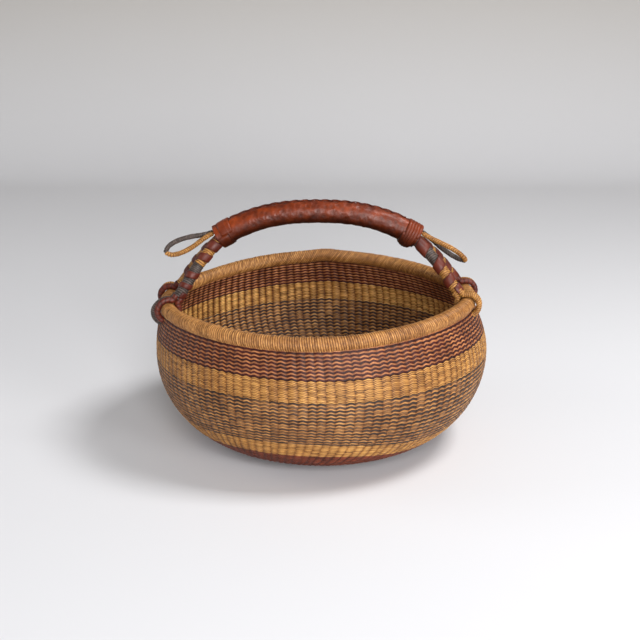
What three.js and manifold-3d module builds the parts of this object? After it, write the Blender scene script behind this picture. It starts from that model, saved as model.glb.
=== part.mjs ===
// A round woven straw basket with a leather-wrapped arch handle. Millimetres, +Z up.
// The origin is the centre of the flat base, the handle's arch runs along X, the front faces -Y.
import * as THREE from 'three';
import { mergeVertices } from 'three/addons/utils/BufferGeometryUtils.js';
import Module from 'manifold-3d';

const wasm = await Module();
wasm.setup();

// Fits
const seatGap = 0.3;
const turnGap = 0.5;
const cutOverrun = 4;

// Woven body
const baseRadius = 86;
const bellyRadius = 205;
const bellyHeight = 114;
const wallThickness = 5;
const redBaseHeight = 39;
const lowerNaturalHeight = 21.4;
const redStripesHeight = 35.2;
const upperNaturalHeight = 25.3;
const stakeCount = 120;
const stakesPerRib = 2;
const ribDepth = 1.2;

// Rim roll
const rimInset = 19;
const rimHeight = 177;
const rollRadius = 8.5;
const rimCoreRadius = 4.5;

// How the hand-made rim leans, tips and waves
const rimLeanX = -5;
const rimTipDegrees = 1.1;
const rimWave = 3;
const rimWaveCount = 3;
const rimHump = 2;
const rimHumpDegrees = 87;
const rimHumpWidthDegrees = 6;

// Handle
const handleY = -15;
const gripCentreX = -4.5;
const gripInset = 66;
const gripTopHeight = 288.5;
const gripDrop = 31;
const gripDropPower = 2.4;
const gripRadius = 14;
const gripLeatherThickness = 1.6;
const rodRadius = 4.5;
const rodSpacing = 10;
const rodForkSpacing = 13.4;
const rodForkDrop = 4.5;
const whippingThickness = 1.5;
const legStripThickness = 1.3;
const legStripClearance = 0.6;
const legStripWidth = 9.5;
const legStripTurns = 4;
const legStripStart = 16;
const legStripEnd = 4;

// Where the legs meet the rim
const frontFootDegrees = 15;
const backFootDegrees = 8;
const footSlopeDegrees = 50;
const footRun = 12;
const legBowShare = 0.5;
const legBowOut = 3;

// Rim strands at each foot
const strandRadius = 3.5;
const strandSlack = 1.4;
const looseStrandSlack = 3.2;
const slotClearance = 0.7;
const strandLoopDegrees = [180, 210, 240, 270, 300, 330, 360, 390, 420, 448];

// Trim on the grip
const collarTurns = 3;
const collarWidth = 4.4;
const collarThickness = 1.8;
const laceRadius = 0.9;
const laceSwing = 1.5;
const laceWaves = 15;

// Finger loops
const fingerCordRadius = 2.7;
const fingerRootSpacing = 6.6;
const fingerRootRise = 7.5;
const fingerRootOut = 0.6;
const fingerLoopLength = 64.5;
const fingerLoopWidth = 15;
const leftLoopDroopDegrees = 23;
const rightLoopDroopDegrees = 33;
const leftLoopRollDegrees = 74;
const rightLoopRollDegrees = -35;
const loopRollShare = 0.6;

// Facet counts
const baseBandSteps = 4;
const narrowBandSteps = 1;
const wideBandSteps = 3;
const topBandSteps = 2;
const rollSides = 10;
const coreSides = 6;
const rodSides = 8;
const rodSteps = 36;
const skinSides = 14;
const skinSteps = 18;
const legSteps = 12;
const strandSides = 6;
const strandSteps = 16;
const fingerSides = 6;
const fingerSteps = 24;
const laceSides = 4;
const laceStepsPerWave = 4;
const socketSides = 8;
const turnSteps = 14;
const collarSteps = 20;

// Tolerances of the construction
const weldDistance = 1e-4;
const shareNudge = 1e-3;
const rimNudgeDegrees = 0.5;
const halvings = 40;

const rimRadius = bellyRadius - rimInset;
const gripHalfSpan = rimRadius - gripInset;

// One modelled rib stands for this many of the wall's stakes, and every ring has its corners on the ribs
const ribCount = stakeCount / stakesPerRib;

// Where one band of colour ends and the next begins, from the base up and from the rim down
const redBaseTop = redBaseHeight;
const lowerNaturalTop = redBaseTop + lowerNaturalHeight;
const upperNaturalTop = rimHeight - redStripesHeight;
const darkStripesTop = upperNaturalTop - upperNaturalHeight;

const degrees = THREE.MathUtils.degToRad;
const vec = (x, y, z) => new THREE.Vector3(x, y, z);

// Colours read from the object: straw, dyed straw and leather
const finishes = {
  naturalStraw: { color: 0xb98742, roughness: 0.75, metalness: 0 },
  redStraw: { color: 0x6a2f2b, roughness: 0.75, metalness: 0 },
  redStripes: { color: 0x925a3c, roughness: 0.75, metalness: 0 },
  darkStripes: { color: 0x6f5a3e, roughness: 0.75, metalness: 0 },
  darkStraw: { color: 0x3f3b40, roughness: 0.7, metalness: 0 },
  cane: { color: 0xa98a55, roughness: 0.8, metalness: 0 },
  gripLeather: { color: 0x96401f, roughness: 0.4, metalness: 0 },
  darkLeather: { color: 0x55241a, roughness: 0.45, metalness: 0 },
};

const strandFinishes = {
  left_front: { near: 'darkLeather', far: 'darkStraw' },
  left_back: { near: 'naturalStraw', far: 'darkLeather' },
  right_front: { near: 'naturalStraw', far: 'naturalStraw' },
  right_back: { near: 'naturalStraw', far: 'darkLeather' },
};

const basket = new THREE.Group();

function addPiece(name, geometry, finish) {
  const piece = new THREE.Mesh(geometry, new THREE.MeshStandardMaterial(finishes[finish]));
  piece.name = name;
  basket.add(piece);
  return piece;
}

// A faceted bore's corner radius, so that its flats clear what passes through it
function boreRadius(radius, sides) {
  return (radius + seatGap) / Math.cos(Math.PI / sides);
}

// Solids and booleans
function toManifold(geometry) {
  const bare = geometry.clone();
  bare.deleteAttribute('normal');
  bare.deleteAttribute('uv');
  const merged = mergeVertices(bare, weldDistance);
  return new wasm.Manifold(new wasm.Mesh({
    numProp: 3,
    vertProperties: new Float32Array(merged.attributes.position.array),
    triVerts: new Uint32Array(merged.index.array),
  }));
}

function fromManifold(solid) {
  const mesh = solid.getMesh();
  const geometry = new THREE.BufferGeometry();
  geometry.setAttribute('position', new THREE.BufferAttribute(new Float32Array(mesh.vertProperties), 3));
  geometry.setIndex(new THREE.BufferAttribute(new Uint32Array(mesh.triVerts), 1));
  return geometry;
}

function subtract(geometry, cutters) {
  let solid = toManifold(geometry);
  for (const cutter of cutters) solid = solid.subtract(toManifold(cutter));
  return fromManifold(solid);
}

// The rim's rise at an angle round the basket
function rimLift(angle) {
  const fromHump = Math.atan2(
    Math.sin(angle - degrees(rimHumpDegrees)), Math.cos(angle - degrees(rimHumpDegrees)));
  return rimRadius * Math.tan(degrees(rimTipDegrees)) * Math.cos(angle)
    - rimWave * Math.sin(rimWaveCount * angle)
    + rimHump * Math.exp(-((fromHump / degrees(rimHumpWidthDegrees)) ** 2));
}

// Tips and waves a point, more the higher it lies, and leans what is above the belly
function settlePoint(point) {
  const share = (Math.max(point.z, 0) / rimHeight) ** 2;
  const lift = rimLift(Math.atan2(point.y, point.x));
  const lean = rimLeanX * THREE.MathUtils.smoothstep(point.z, bellyHeight, rimHeight + rollRadius);
  return vec(point.x + lean, point.y, point.z + lift * share);
}

function settle(geometry) {
  const place = geometry.attributes.position;
  for (let i = 0; i < place.count; i += 1) {
    const moved = settlePoint(vec(place.getX(i), place.getY(i), place.getZ(i)));
    place.setXYZ(i, moved.x, moved.y, moved.z);
  }
  return geometry;
}

// A ring turned from a closed outline of (radius, height) points, the outside going up first
function turnedRing(outline) {
  const closed = [...outline, outline[0]].map(([radius, height]) => new THREE.Vector2(radius, height));
  return settle(new THREE.LatheGeometry(closed, ribCount).rotateX(Math.PI / 2));
}

// The wall's meridian by place: -1 at the base's edge, 0 at the belly, 1 at the rim's centre line.
// Below the belly its outside is a quarter ellipse, above it its middle line curves in to the rim.
const middleDepth = wallThickness / 2;
const shoulderIn = bellyRadius - middleDepth - rimRadius;
const shoulderUp = rimHeight - bellyHeight;

function wallPoint(place, depth) {
  const point = new THREE.Vector2();
  const normal = new THREE.Vector2();
  if (place < 0) {
    const cos = Math.cos(place * Math.PI / 2);
    const sin = Math.sin(place * Math.PI / 2);
    point.set(baseRadius + (bellyRadius - baseRadius) * cos, bellyHeight * (1 + sin));
    normal.set(cos / (bellyRadius - baseRadius), sin / bellyHeight).normalize();
    return point.addScaledVector(normal, -depth);
  }
  point.set(bellyRadius - middleDepth - shoulderIn * place ** 2, bellyHeight + shoulderUp * place);
  normal.set(shoulderUp, 2 * shoulderIn * place).normalize();
  return point.addScaledVector(normal, middleDepth - depth);
}

function wallPlace(height) {
  if (height < bellyHeight) return Math.asin(height / bellyHeight - 1) / (Math.PI / 2);
  return (height - bellyHeight) / shoulderUp;
}

// The place this far short of the rim's centre, along the wall
function placeBeforeRim(distance) {
  return 1 - distance / Math.hypot(2 * shoulderIn, shoulderUp);
}

// The wall runs into the roll along this direction
const rimCentre = new THREE.Vector2(rimRadius, rimHeight);
const wallIntoRim = rimCentre.clone().sub(wallPoint(placeBeforeRim(rollRadius), middleDepth)).normalize();

// A stretch of the wall. Its outside stands out along the stakes and sinks between them, its inside is
// smooth. Each rib has two columns of facets outside and one inside.
function ribbedWall(fromPlace, toPlace, steps) {
  const outsideCount = 2 * ribCount;
  const points = [];
  const addRing = (i, count, depthAt) => {
    const place = fromPlace + (toPlace - fromPlace) * (i / steps);
    for (let k = 0; k < count; k += 1) {
      const { x: radius, y: height } = wallPoint(place, depthAt(k));
      const angle = (k / count) * 2 * Math.PI;
      points.push(radius * Math.cos(angle), radius * Math.sin(angle), height);
    }
  };
  for (let i = 0; i <= steps; i += 1) addRing(i, outsideCount, (k) => (k % 2) * ribDepth);
  for (let i = 0; i <= steps; i += 1) addRing(i, ribCount, () => wallThickness);

  const index = [];
  const outside = (i, k) => i * outsideCount + (k % outsideCount);
  const inside = (i, k) => (steps + 1) * outsideCount + i * ribCount + (k % ribCount);
  const quad = (a, b, c, d) => index.push(a, b, c, a, c, d);
  for (let i = 0; i < steps; i += 1) {
    for (let k = 0; k < outsideCount; k += 1) {
      quad(outside(i, k), outside(i, k + 1), outside(i + 1, k + 1), outside(i + 1, k));
    }
    for (let k = 0; k < ribCount; k += 1) {
      quad(inside(i, k), inside(i + 1, k), inside(i + 1, k + 1), inside(i, k + 1));
    }
  }
  for (let k = 0; k < ribCount; k += 1) {
    const lower = [outside(0, 2 * k), outside(0, 2 * k + 1), outside(0, 2 * k + 2)];
    index.push(lower[1], lower[0], inside(0, k));
    index.push(inside(0, k + 1), lower[1], inside(0, k));
    index.push(lower[2], lower[1], inside(0, k + 1));
    const upper = [outside(steps, 2 * k), outside(steps, 2 * k + 1), outside(steps, 2 * k + 2)];
    index.push(upper[0], upper[1], inside(steps, k));
    index.push(upper[1], inside(steps, k + 1), inside(steps, k));
    index.push(upper[1], upper[2], inside(steps, k + 1));
  }
  const geometry = new THREE.BufferGeometry();
  geometry.setAttribute('position', new THREE.BufferAttribute(new Float32Array(points), 3));
  geometry.setIndex(index);
  return settle(geometry);
}

function band(name, fromHeight, toHeight, steps, finish) {
  const wall = ribbedWall(wallPlace(fromHeight + seatGap), wallPlace(toHeight), steps);
  addPiece(name, wall, finish);
}

function buildBody() {
  const disc = new THREE.CylinderGeometry(
    baseRadius - seatGap, baseRadius - seatGap, wallThickness, ribCount);
  disc.rotateX(Math.PI / 2).translate(0, 0, wallThickness / 2);
  addPiece('base_disc', disc, 'redStraw');

  addPiece('red_base_band', ribbedWall(-1, wallPlace(redBaseTop), baseBandSteps), 'redStraw');
  band('lower_natural_band', redBaseTop, lowerNaturalTop, narrowBandSteps, 'naturalStraw');
  band('dark_striped_band', lowerNaturalTop, darkStripesTop, wideBandSteps, 'darkStripes');
  band('upper_natural_band', darkStripesTop, upperNaturalTop, narrowBandSteps, 'naturalStraw');
}

// Points on the rim's centre line and the local axes there: out, up and along the rim
function rimFrame(angle) {
  const at = (a) => settlePoint(vec(rimRadius * Math.cos(a), rimRadius * Math.sin(a), rimHeight));
  const nudge = degrees(rimNudgeDegrees);
  const centre = at(angle);
  const along = at(angle + nudge).sub(at(angle - nudge)).normalize();
  const out = vec(Math.cos(angle), Math.sin(angle), 0);
  out.addScaledVector(along, -out.dot(along)).normalize();
  const up = vec(0, 0, 0).crossVectors(out, along).normalize();
  return { centre, out, up, along };
}

function inRimFrame(frame, out, up, along) {
  return frame.centre.clone()
    .addScaledVector(frame.out, out)
    .addScaledVector(frame.up, up)
    .addScaledVector(frame.along, along);
}

// The top band runs on into the roll, with a slot below the roll at each foot
function buildTopBand(feet) {
  const endPlace = placeBeforeRim(rimCoreRadius + seatGap);
  const ring = ribbedWall(wallPlace(upperNaturalTop + seatGap), endPlace, topBandSteps);

  const wallAim = Math.atan2(-wallIntoRim.y, -wallIntoRim.x);
  const strandLoop = rollRadius + turnGap + strandRadius + looseStrandSlack / 4;
  const slots = feet.map((foot) => {
    const slot = new THREE.BoxGeometry(
      2 * (strandRadius + slotClearance) + looseStrandSlack / 2,
      wallThickness + 2 * cutOverrun,
      2 * (2 * strandRadius + turnGap / 2 + slotClearance));
    const axes = new THREE.Matrix4().makeBasis(
      foot.frame.out.clone().multiplyScalar(Math.cos(wallAim))
        .addScaledVector(foot.frame.up, Math.sin(wallAim)),
      foot.frame.out.clone().multiplyScalar(-Math.sin(wallAim))
        .addScaledVector(foot.frame.up, Math.cos(wallAim)),
      foot.frame.along.clone());
    const middle = inRimFrame(
      foot.frame, strandLoop * Math.cos(wallAim), strandLoop * Math.sin(wallAim), 0);
    if (axes.determinant() < 0) axes.scale(vec(1, 1, -1));
    return slot.applyMatrix4(axes).translate(middle.x, middle.y, middle.z);
  });
  addPiece('red_striped_band', subtract(ring, slots), 'redStripes');
}

function buildRim() {
  const core = [];
  for (let i = 0; i < coreSides; i += 1) {
    const angle = (i / coreSides) * 2 * Math.PI;
    core.push([rimRadius + rimCoreRadius * Math.cos(angle), rimHeight + rimCoreRadius * Math.sin(angle)]);
  }
  addPiece('rim_core', turnedRing(core), 'cane');

  // The straw wrap is open where the wall's stakes run up into the roll
  const mouth = wallThickness / 2 + seatGap;
  const innerSteps = coreSides - 1;
  const wrapInner = boreRadius(rimCoreRadius, coreSides);
  const aim = Math.atan2(-wallIntoRim.y, -wallIntoRim.x);
  const arc = (radius, from, to, steps) => {
    const points = [];
    for (let i = 0; i <= steps; i += 1) {
      const angle = from + (to - from) * (i / steps);
      points.push([rimRadius + radius * Math.cos(angle), rimHeight + radius * Math.sin(angle)]);
    }
    return points;
  };
  const outerMouth = Math.asin(mouth / rollRadius);
  const innerMouth = Math.asin(mouth / wrapInner);
  const outer = arc(rollRadius, aim + outerMouth, aim + 2 * Math.PI - outerMouth, rollSides);
  const inner = arc(wrapInner, aim + 2 * Math.PI - innerMouth, aim + innerMouth, innerSteps);
  addPiece('rim_wrap', turnedRing([...outer, ...inner]), 'naturalStraw');
}

// Sweeps along curves
function framesAlong(curve, steps, from = 0, to = 1) {
  const frames = [];
  let side = vec(0, 1, 0);
  for (let i = 0; i <= steps; i += 1) {
    const t = from + (to - from) * (i / steps);
    const tangent = curve.getTangentAt(t);
    side = side.clone().addScaledVector(tangent, -side.dot(tangent)).normalize();
    const lift = vec(0, 0, 0).crossVectors(tangent, side);
    frames.push({ centre: curve.getPointAt(t), tangent, side, lift, t });
  }
  return frames;
}

function offset(frame, side, lift) {
  return frame.centre.clone().addScaledVector(frame.side, side).addScaledVector(frame.lift, lift);
}

// Joins rings of points into one closed skin, with a fan at each end unless it closes on itself
function skin(rings, endStyle = 'caps') {
  const positions = rings.flat().flatMap((point) => point.toArray());
  const sides = rings[0].length;
  const index = [];
  const last = rings.length - 1;
  const quad = (a, b, c, d) => index.push(a, b, c, a, c, d);
  const loops = endStyle === 'closed' ? rings.length : last;
  for (let i = 0; i < loops; i += 1) {
    const next = (i + 1) % rings.length;
    for (let j = 0; j < sides; j += 1) {
      const k = (j + 1) % sides;
      quad(i * sides + j, i * sides + k, next * sides + k, next * sides + j);
    }
  }
  if (endStyle === 'caps') {
    for (let j = 1; j < sides - 1; j += 1) {
      index.push(0, j + 1, j);
      index.push(last * sides, last * sides + j, last * sides + j + 1);
    }
  }
  const geometry = new THREE.BufferGeometry();
  geometry.setAttribute('position', new THREE.BufferAttribute(new Float32Array(positions), 3));
  geometry.setIndex(index);
  return outward(geometry);
}

function signedVolume(geometry) {
  const place = geometry.attributes.position;
  const index = geometry.index.array;
  const a = vec(0, 0, 0);
  const b = vec(0, 0, 0);
  const c = vec(0, 0, 0);
  let total = 0;
  for (let i = 0; i < index.length; i += 3) {
    a.fromBufferAttribute(place, index[i]);
    b.fromBufferAttribute(place, index[i + 1]);
    c.fromBufferAttribute(place, index[i + 2]);
    total += a.dot(b.cross(c));
  }
  return total;
}

function outward(geometry) {
  if (signedVolume(geometry) < 0) {
    const index = geometry.index.array;
    for (let i = 0; i < index.length; i += 3) [index[i], index[i + 1]] = [index[i + 1], index[i]];
  }
  return geometry;
}

function circleRing(frame, radius, sides) {
  const ring = [];
  for (let j = 0; j < sides; j += 1) {
    const angle = (j / sides) * 2 * Math.PI;
    ring.push(offset(frame, radius * Math.cos(angle), radius * Math.sin(angle)));
  }
  return ring;
}

function rod(frames, radius, sides) {
  return skin(frames.map((frame) => circleRing(frame, radius, sides)));
}

// A tube with an open bore: the outer skin, then back through the bore
function sleeve(frames, outerRadius, innerRadius, sides) {
  const outer = frames.map((frame) => circleRing(frame, outerRadius, sides));
  const inner = frames.map((frame) => circleRing(frame, innerRadius, sides)).reverse();
  return skin([...outer, ...inner], 'closed');
}

// The grip's centre line, flat at the top and falling faster towards its ends
class GripArc extends THREE.Curve {
  getPoint(t, target = vec(0, 0, 0)) {
    const share = 2 * t - 1;
    return target.set(
      gripCentreX + gripHalfSpan * share,
      handleY,
      gripTopHeight - gripDrop * Math.abs(share) ** gripDropPower);
  }
}

const gripArc = new GripArc();
const gripFrames = framesAlong(gripArc, skinSteps);
const gripEnds = {
  left: gripFrames[0],
  right: gripFrames[gripFrames.length - 1],
};

// Each foot's place on the rim, and the leg's end face above it
function foot(sideName, depthName) {
  const fromX = depthName === 'front' ? -degrees(frontFootDegrees) : degrees(backFootDegrees);
  const angle = sideName === 'right' ? fromX : Math.PI - fromX;
  const frame = rimFrame(angle);
  const slope = degrees(footSlopeDegrees);
  const legAxis = frame.out.clone().multiplyScalar(-Math.cos(slope))
    .addScaledVector(frame.up, Math.sin(slope));
  const clearOfRoll = rollRadius + turnGap + 2 * strandRadius + 2 * seatGap;
  const end = frame.centre.clone().addScaledVector(legAxis, clearOfRoll);
  return { sideName, depthName, name: `${sideName}_${depthName}`, frame, legAxis, end };
}

const feet = [
  foot('left', 'front'), foot('left', 'back'), foot('right', 'front'), foot('right', 'back'),
];

function footNamed(sideName, depthName) {
  return feet.find((one) => one.sideName === sideName && one.depthName === depthName);
}

// One rod runs foot to foot: up a leg, side by side through the grip, down the other leg
function rodCurve(depthName) {
  const way = depthName === 'front' ? -1 : 1;
  const forkShares = [0, 0.09];
  const gripShares = [0.2, 0.35, 0.5, 0.65, 0.8];
  const points = [];
  const legPoints = (sideName) => {
    const at = footNamed(sideName, depthName);
    const run = at.end.clone().addScaledVector(at.legAxis, footRun);
    const fork = gripArc.getPoint(sideName === 'left' ? 0 : 1);
    fork.y += way * rodForkSpacing / 2;
    fork.z -= rodForkDrop;
    const bow = run.clone().lerp(fork, legBowShare);
    bow.x += (sideName === 'left' ? -1 : 1) * legBowOut;
    return [at.end, run, bow];
  };
  const gripPoint = (share, spacing, drop) => {
    const frame = framesAlong(gripArc, 1, share, share + shareNudge)[0];
    return offset(frame, 0, 0).add(vec(0, way * spacing / 2, -drop));
  };
  points.push(...legPoints('left'));
  points.push(gripPoint(forkShares[0], rodForkSpacing, rodForkDrop));
  points.push(gripPoint(forkShares[1], rodSpacing, 0));
  for (const share of gripShares) points.push(gripPoint(share, rodSpacing, 0));
  points.push(gripPoint(1 - forkShares[1], rodSpacing, 0));
  points.push(gripPoint(1 - forkShares[0] - shareNudge, rodForkSpacing, rodForkDrop));
  points.push(...legPoints('right').reverse());
  return new THREE.CatmullRomCurve3(points, false, 'centripetal');
}

const rods = { front: rodCurve('front'), back: rodCurve('back') };

// How far along its rod a leg leaves the grip: where a square end of this radius clears the grip's end
function gripExit(curve, sideName, radius) {
  const end = gripEnds[sideName];
  const outwards = sideName === 'left' ? -1 : 1;
  let inside = 0.5;
  let outside = sideName === 'left' ? 0 : 1;
  for (let i = 0; i < halvings; i += 1) {
    const middle = (inside + outside) / 2;
    const reach = curve.getPointAt(middle).sub(end.centre).dot(end.tangent) * outwards;
    const turned = curve.getTangentAt(middle).angleTo(end.tangent);
    if (reach > seatGap + radius * Math.sin(turned)) outside = middle;
    else inside = middle;
  }
  return outside;
}

// Frames down a leg, from the grip's end to the foot
function legFrames(at, steps) {
  const curve = rods[at.depthName];
  const exit = gripExit(curve, at.sideName, whippingRadius);
  return framesAlong(curve, steps, exit, at.sideName === 'left' ? 0 : 1);
}

function legLength(at) {
  const curve = rods[at.depthName];
  const footAt = at.sideName === 'left' ? 0 : 1;
  return Math.abs(gripExit(curve, at.sideName, whippingRadius) - footAt) * curve.getLength();
}

const whippingRadius = rodRadius + seatGap + whippingThickness;

function buildRods() {
  for (const depthName of ['front', 'back']) {
    const frames = framesAlong(rods[depthName], rodSteps);
    addPiece(`${depthName}_handle_rod`, rod(frames, rodRadius, rodSides), 'cane');
  }
}

// Straw packing fills the grip round both rods, with sockets for the finger loops' roots
function buildPacking() {
  const radius = gripRadius - gripLeatherThickness - seatGap;
  const body = rod(gripFrames, radius, skinSides);
  const bores = ['front', 'back'].map((depthName) => {
    const curve = rods[depthName];
    const margin = cutOverrun / curve.getLength();
    const frames = framesAlong(
      curve, skinSteps, gripExit(curve, 'left', 0) - margin, gripExit(curve, 'right', 0) + margin);
    return rod(frames, boreRadius(rodRadius, rodSides), rodSides);
  });
  const socketRadius = (fingerCordRadius + turnGap) / Math.cos(Math.PI / socketSides);
  const sockets = fingerRoots.map((root) => new THREE.SphereGeometry(
    socketRadius, socketSides, socketSides).translate(root.x, root.y, root.z));
  addPiece('grip_packing', subtract(body, [...bores, ...sockets]), 'cane');
}

function buildLeather() {
  addPiece('leather_grip', sleeve(
    gripFrames, gripRadius, gripRadius - gripLeatherThickness, skinSides), 'gripLeather');
}

const collarLength = collarTurns * (collarWidth + turnGap) + collarWidth;

// The laced seam swings from side to side along the top of the grip, between the collars
function buildSeamLace() {
  const steps = laceWaves * laceStepsPerWave;
  const seatRadius = gripRadius + seatGap + laceRadius;
  const startShare = (collarLength + turnGap + laceRadius) / gripArc.getLength();
  const centres = framesAlong(gripArc, steps, startShare, 1 - startShare).map((frame, i) => {
    const swing = laceSwing * Math.sin((i / laceStepsPerWave) * 2 * Math.PI);
    const lean = swing / seatRadius;
    const lift = frame.lift.z > 0 ? 1 : -1;
    return offset(frame, seatRadius * Math.sin(lean), lift * seatRadius * Math.cos(lean));
  });
  const path = new THREE.CatmullRomCurve3(centres);
  addPiece('grip_seam_lace', rod(framesAlong(path, steps), laceRadius, laceSides), 'darkLeather');
}

// A flat strip wound on a sleeve as one open helix; returns its rings of four corners
function windStrip(frameAt, length, turns, width, innerRadius, thickness) {
  const steps = Math.round(turns * turnSteps);
  const rings = [];
  for (let i = 0; i <= steps; i += 1) {
    const along = width / 2 + (length - width) * (i / steps);
    const angle = (i / turnSteps) * 2 * Math.PI;
    const corner = (shift, radius) => {
      const frame = frameAt(along + shift);
      return offset(frame, radius * Math.cos(angle), radius * Math.sin(angle));
    };
    rings.push([
      corner(-width / 2, innerRadius),
      corner(width / 2, innerRadius),
      corner(width / 2, innerRadius + thickness),
      corner(-width / 2, innerRadius + thickness),
    ]);
  }
  return rings;
}

// Least gap between the turns of a wound strip, measured between its corner points
function leastTurnGap(rings) {
  let least = Infinity;
  for (let i = 0; i < rings.length; i += 1) {
    for (let j = i + turnSteps - 2; j < rings.length; j += 1) {
      for (const a of rings[i]) {
        for (const b of rings[j]) least = Math.min(least, a.distanceTo(b));
      }
    }
  }
  return least;
}

// Looks up a frame by its distance along a densely sampled stretch
function frameLookup(frames, length) {
  return (distance) => {
    const place = THREE.MathUtils.clamp(distance / length, 0, 1) * (frames.length - 1);
    const low = Math.min(Math.floor(place), frames.length - 2);
    const share = place - low;
    const mix = (key) => frames[low][key].clone().lerp(frames[low + 1][key], share);
    return {
      centre: mix('centre'),
      tangent: mix('tangent').normalize(),
      side: mix('side').normalize(),
      lift: mix('lift').normalize(),
    };
  };
}

function buildLegs() {
  const gaps = [];
  for (const at of feet) {
    const frames = legFrames(at, legSteps);
    addPiece(`${at.name}_leg_whipping`, sleeve(
      frames, whippingRadius, boreRadius(rodRadius, rodSides), rodSides), at.depthName === 'front'
      ? 'darkStraw' : 'naturalStraw');

    const length = legLength(at);
    const frameAt = frameLookup(frames, length);
    const rings = windStrip(
      (distance) => frameAt(legStripStart + distance), length - legStripStart - legStripEnd,
      legStripTurns, legStripWidth, whippingRadius + legStripClearance, legStripThickness);
    gaps.push(leastTurnGap(rings));
    addPiece(`${at.name}_leg_strip`, skin(rings), 'darkLeather');
  }
  return Math.min(...gaps);
}

function buildCollars() {
  const gaps = [];
  const share = collarLength / gripArc.getLength();
  for (const sideName of ['left', 'right']) {
    const frames = sideName === 'left'
      ? framesAlong(gripArc, collarSteps, 0, share)
      : framesAlong(gripArc, collarSteps, 1 - share, 1);
    const rings = windStrip(
      frameLookup(frames, collarLength), collarLength, collarTurns, collarWidth,
      gripRadius + 2 * seatGap, collarThickness);
    gaps.push(leastTurnGap(rings));
    addPiece(`${sideName}_grip_collar`, skin(rings), 'darkLeather');
  }
  return Math.min(...gaps);
}

// A strand leaves the leg's end face, loops the rim's roll through the wall and comes back
function strandPath(at, lane, slack) {
  const slope = degrees(footSlopeDegrees);
  const legAngle = Math.PI - slope;
  const away = at.end.clone().sub(at.frame.centre).length();
  const laneOffset = lane * (strandRadius + turnGap / 2);
  const loop = rollRadius + turnGap + strandRadius;
  const apart = strandRadius + turnGap / 2;
  const onFace = (across, back) => {
    const out = Math.cos(legAngle) * (away - back) + Math.sin(legAngle) * across;
    const up = Math.sin(legAngle) * (away - back) - Math.cos(legAngle) * across;
    return inRimFrame(at.frame, out, up, laneOffset);
  };
  const onLoop = (degreesRound) => {
    const angle = degrees(degreesRound);
    const ease = slack * Math.max(0, Math.cos(angle));
    return inRimFrame(
      at.frame, (loop + ease) * Math.cos(angle), (loop + ease / 2) * Math.sin(angle), laneOffset);
  };
  const points = [
    onFace(-apart, seatGap), onFace(-apart, strandRadius),
    ...strandLoopDegrees.map(onLoop),
    onFace(apart, strandRadius), onFace(apart, seatGap),
  ];
  return new THREE.CatmullRomCurve3(points, false, 'centripetal');
}

// Two strands side by side at each foot; one of the two stands off the roll as a loose loop
function buildStrands() {
  for (const at of feet) {
    const looseName = at.name === 'left_front' ? 'far' : 'near';
    const towardsFar = at.sideName === 'right' ? 1 : -1;
    for (const strandName of ['near', 'far']) {
      const lane = strandName === 'far' ? towardsFar : -towardsFar;
      const slack = strandName === looseName ? looseStrandSlack : strandSlack;
      const path = strandPath(at, lane, slack);
      addPiece(
        `${at.name}_rim_strand_${strandName}`,
        rod(framesAlong(path, strandSteps), strandRadius, strandSides),
        strandFinishes[at.name][strandName]);
    }
  }
}

// Finger loops: a stiff wrapped cord out of the grip's end and back, hinged at its two roots
function fingerRoot(sideName) {
  const end = gripEnds[sideName];
  const lift = end.lift.z > 0 ? 1 : -1;
  const outwards = sideName === 'left' ? -1 : 1;
  return offset(end, 0, lift * fingerRootRise)
    .addScaledVector(end.tangent, outwards * fingerRootOut);
}

const fingerRoots = [];
for (const sideName of ['left', 'right']) {
  for (const way of [-1, 1]) {
    fingerRoots.push(fingerRoot(sideName).add(vec(0, way * fingerRootSpacing / 2, 0)));
  }
}

function buildFingerLoop(sideName, droopDegrees, rollDegrees) {
  const root = fingerRoot(sideName);
  const outwards = sideName === 'left' ? -1 : 1;
  const droop = degrees(droopDegrees);
  const ahead = vec(outwards * Math.cos(droop), 0, -Math.sin(droop));
  const flatLift = vec(0, 0, 0).crossVectors(ahead, vec(0, outwards, 0)).normalize();
  const alongShares = [0, 0.08, 0.25, 0.45, 0.65, 0.82, 0.94, 1];
  const spreadShares = [0.44, 0.44, 0.55, 0.8, 1, 0.95, 0.62, 0];
  const place = (alongShare, spreadShare, way) => {
    const spread = (fingerLoopWidth / 2) * spreadShare;
    const eased = THREE.MathUtils.smoothstep(alongShare, 0, loopRollShare);
    const roll = degrees(rollDegrees) * eased;
    return root.clone()
      .addScaledVector(ahead, fingerLoopLength * alongShare)
      .addScaledVector(vec(0, 1, 0), way * spread * Math.cos(roll))
      .addScaledVector(flatLift, way * spread * Math.sin(roll));
  };
  const points = [];
  alongShares.forEach((share, i) => points.push(place(share, spreadShares[i], -1)));
  alongShares.slice(0, -1).reverse().forEach((share, i) => {
    points.push(place(share, spreadShares[alongShares.length - 2 - i], 1));
  });
  const path = new THREE.CatmullRomCurve3(points, false, 'centripetal');
  addPiece(`${sideName}_finger_loop`, rod(
    framesAlong(path, fingerSteps), fingerCordRadius, fingerSides), 'darkStraw');
}

buildBody();
buildTopBand(feet);
buildRim();
buildRods();
buildPacking();
buildLeather();
buildSeamLace();
const stripGap = buildLegs();
const collarGap = buildCollars();
buildStrands();
buildFingerLoop('left', leftLoopDroopDegrees, leftLoopRollDegrees);
buildFingerLoop('right', rightLoopDroopDegrees, rightLoopRollDegrees);

console.log(`least gap between leg strip turns ${stripGap.toFixed(2)} mm`);
console.log(`least gap between collar turns ${collarGap.toFixed(2)} mm`);

export default basket;
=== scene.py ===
import math

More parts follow.
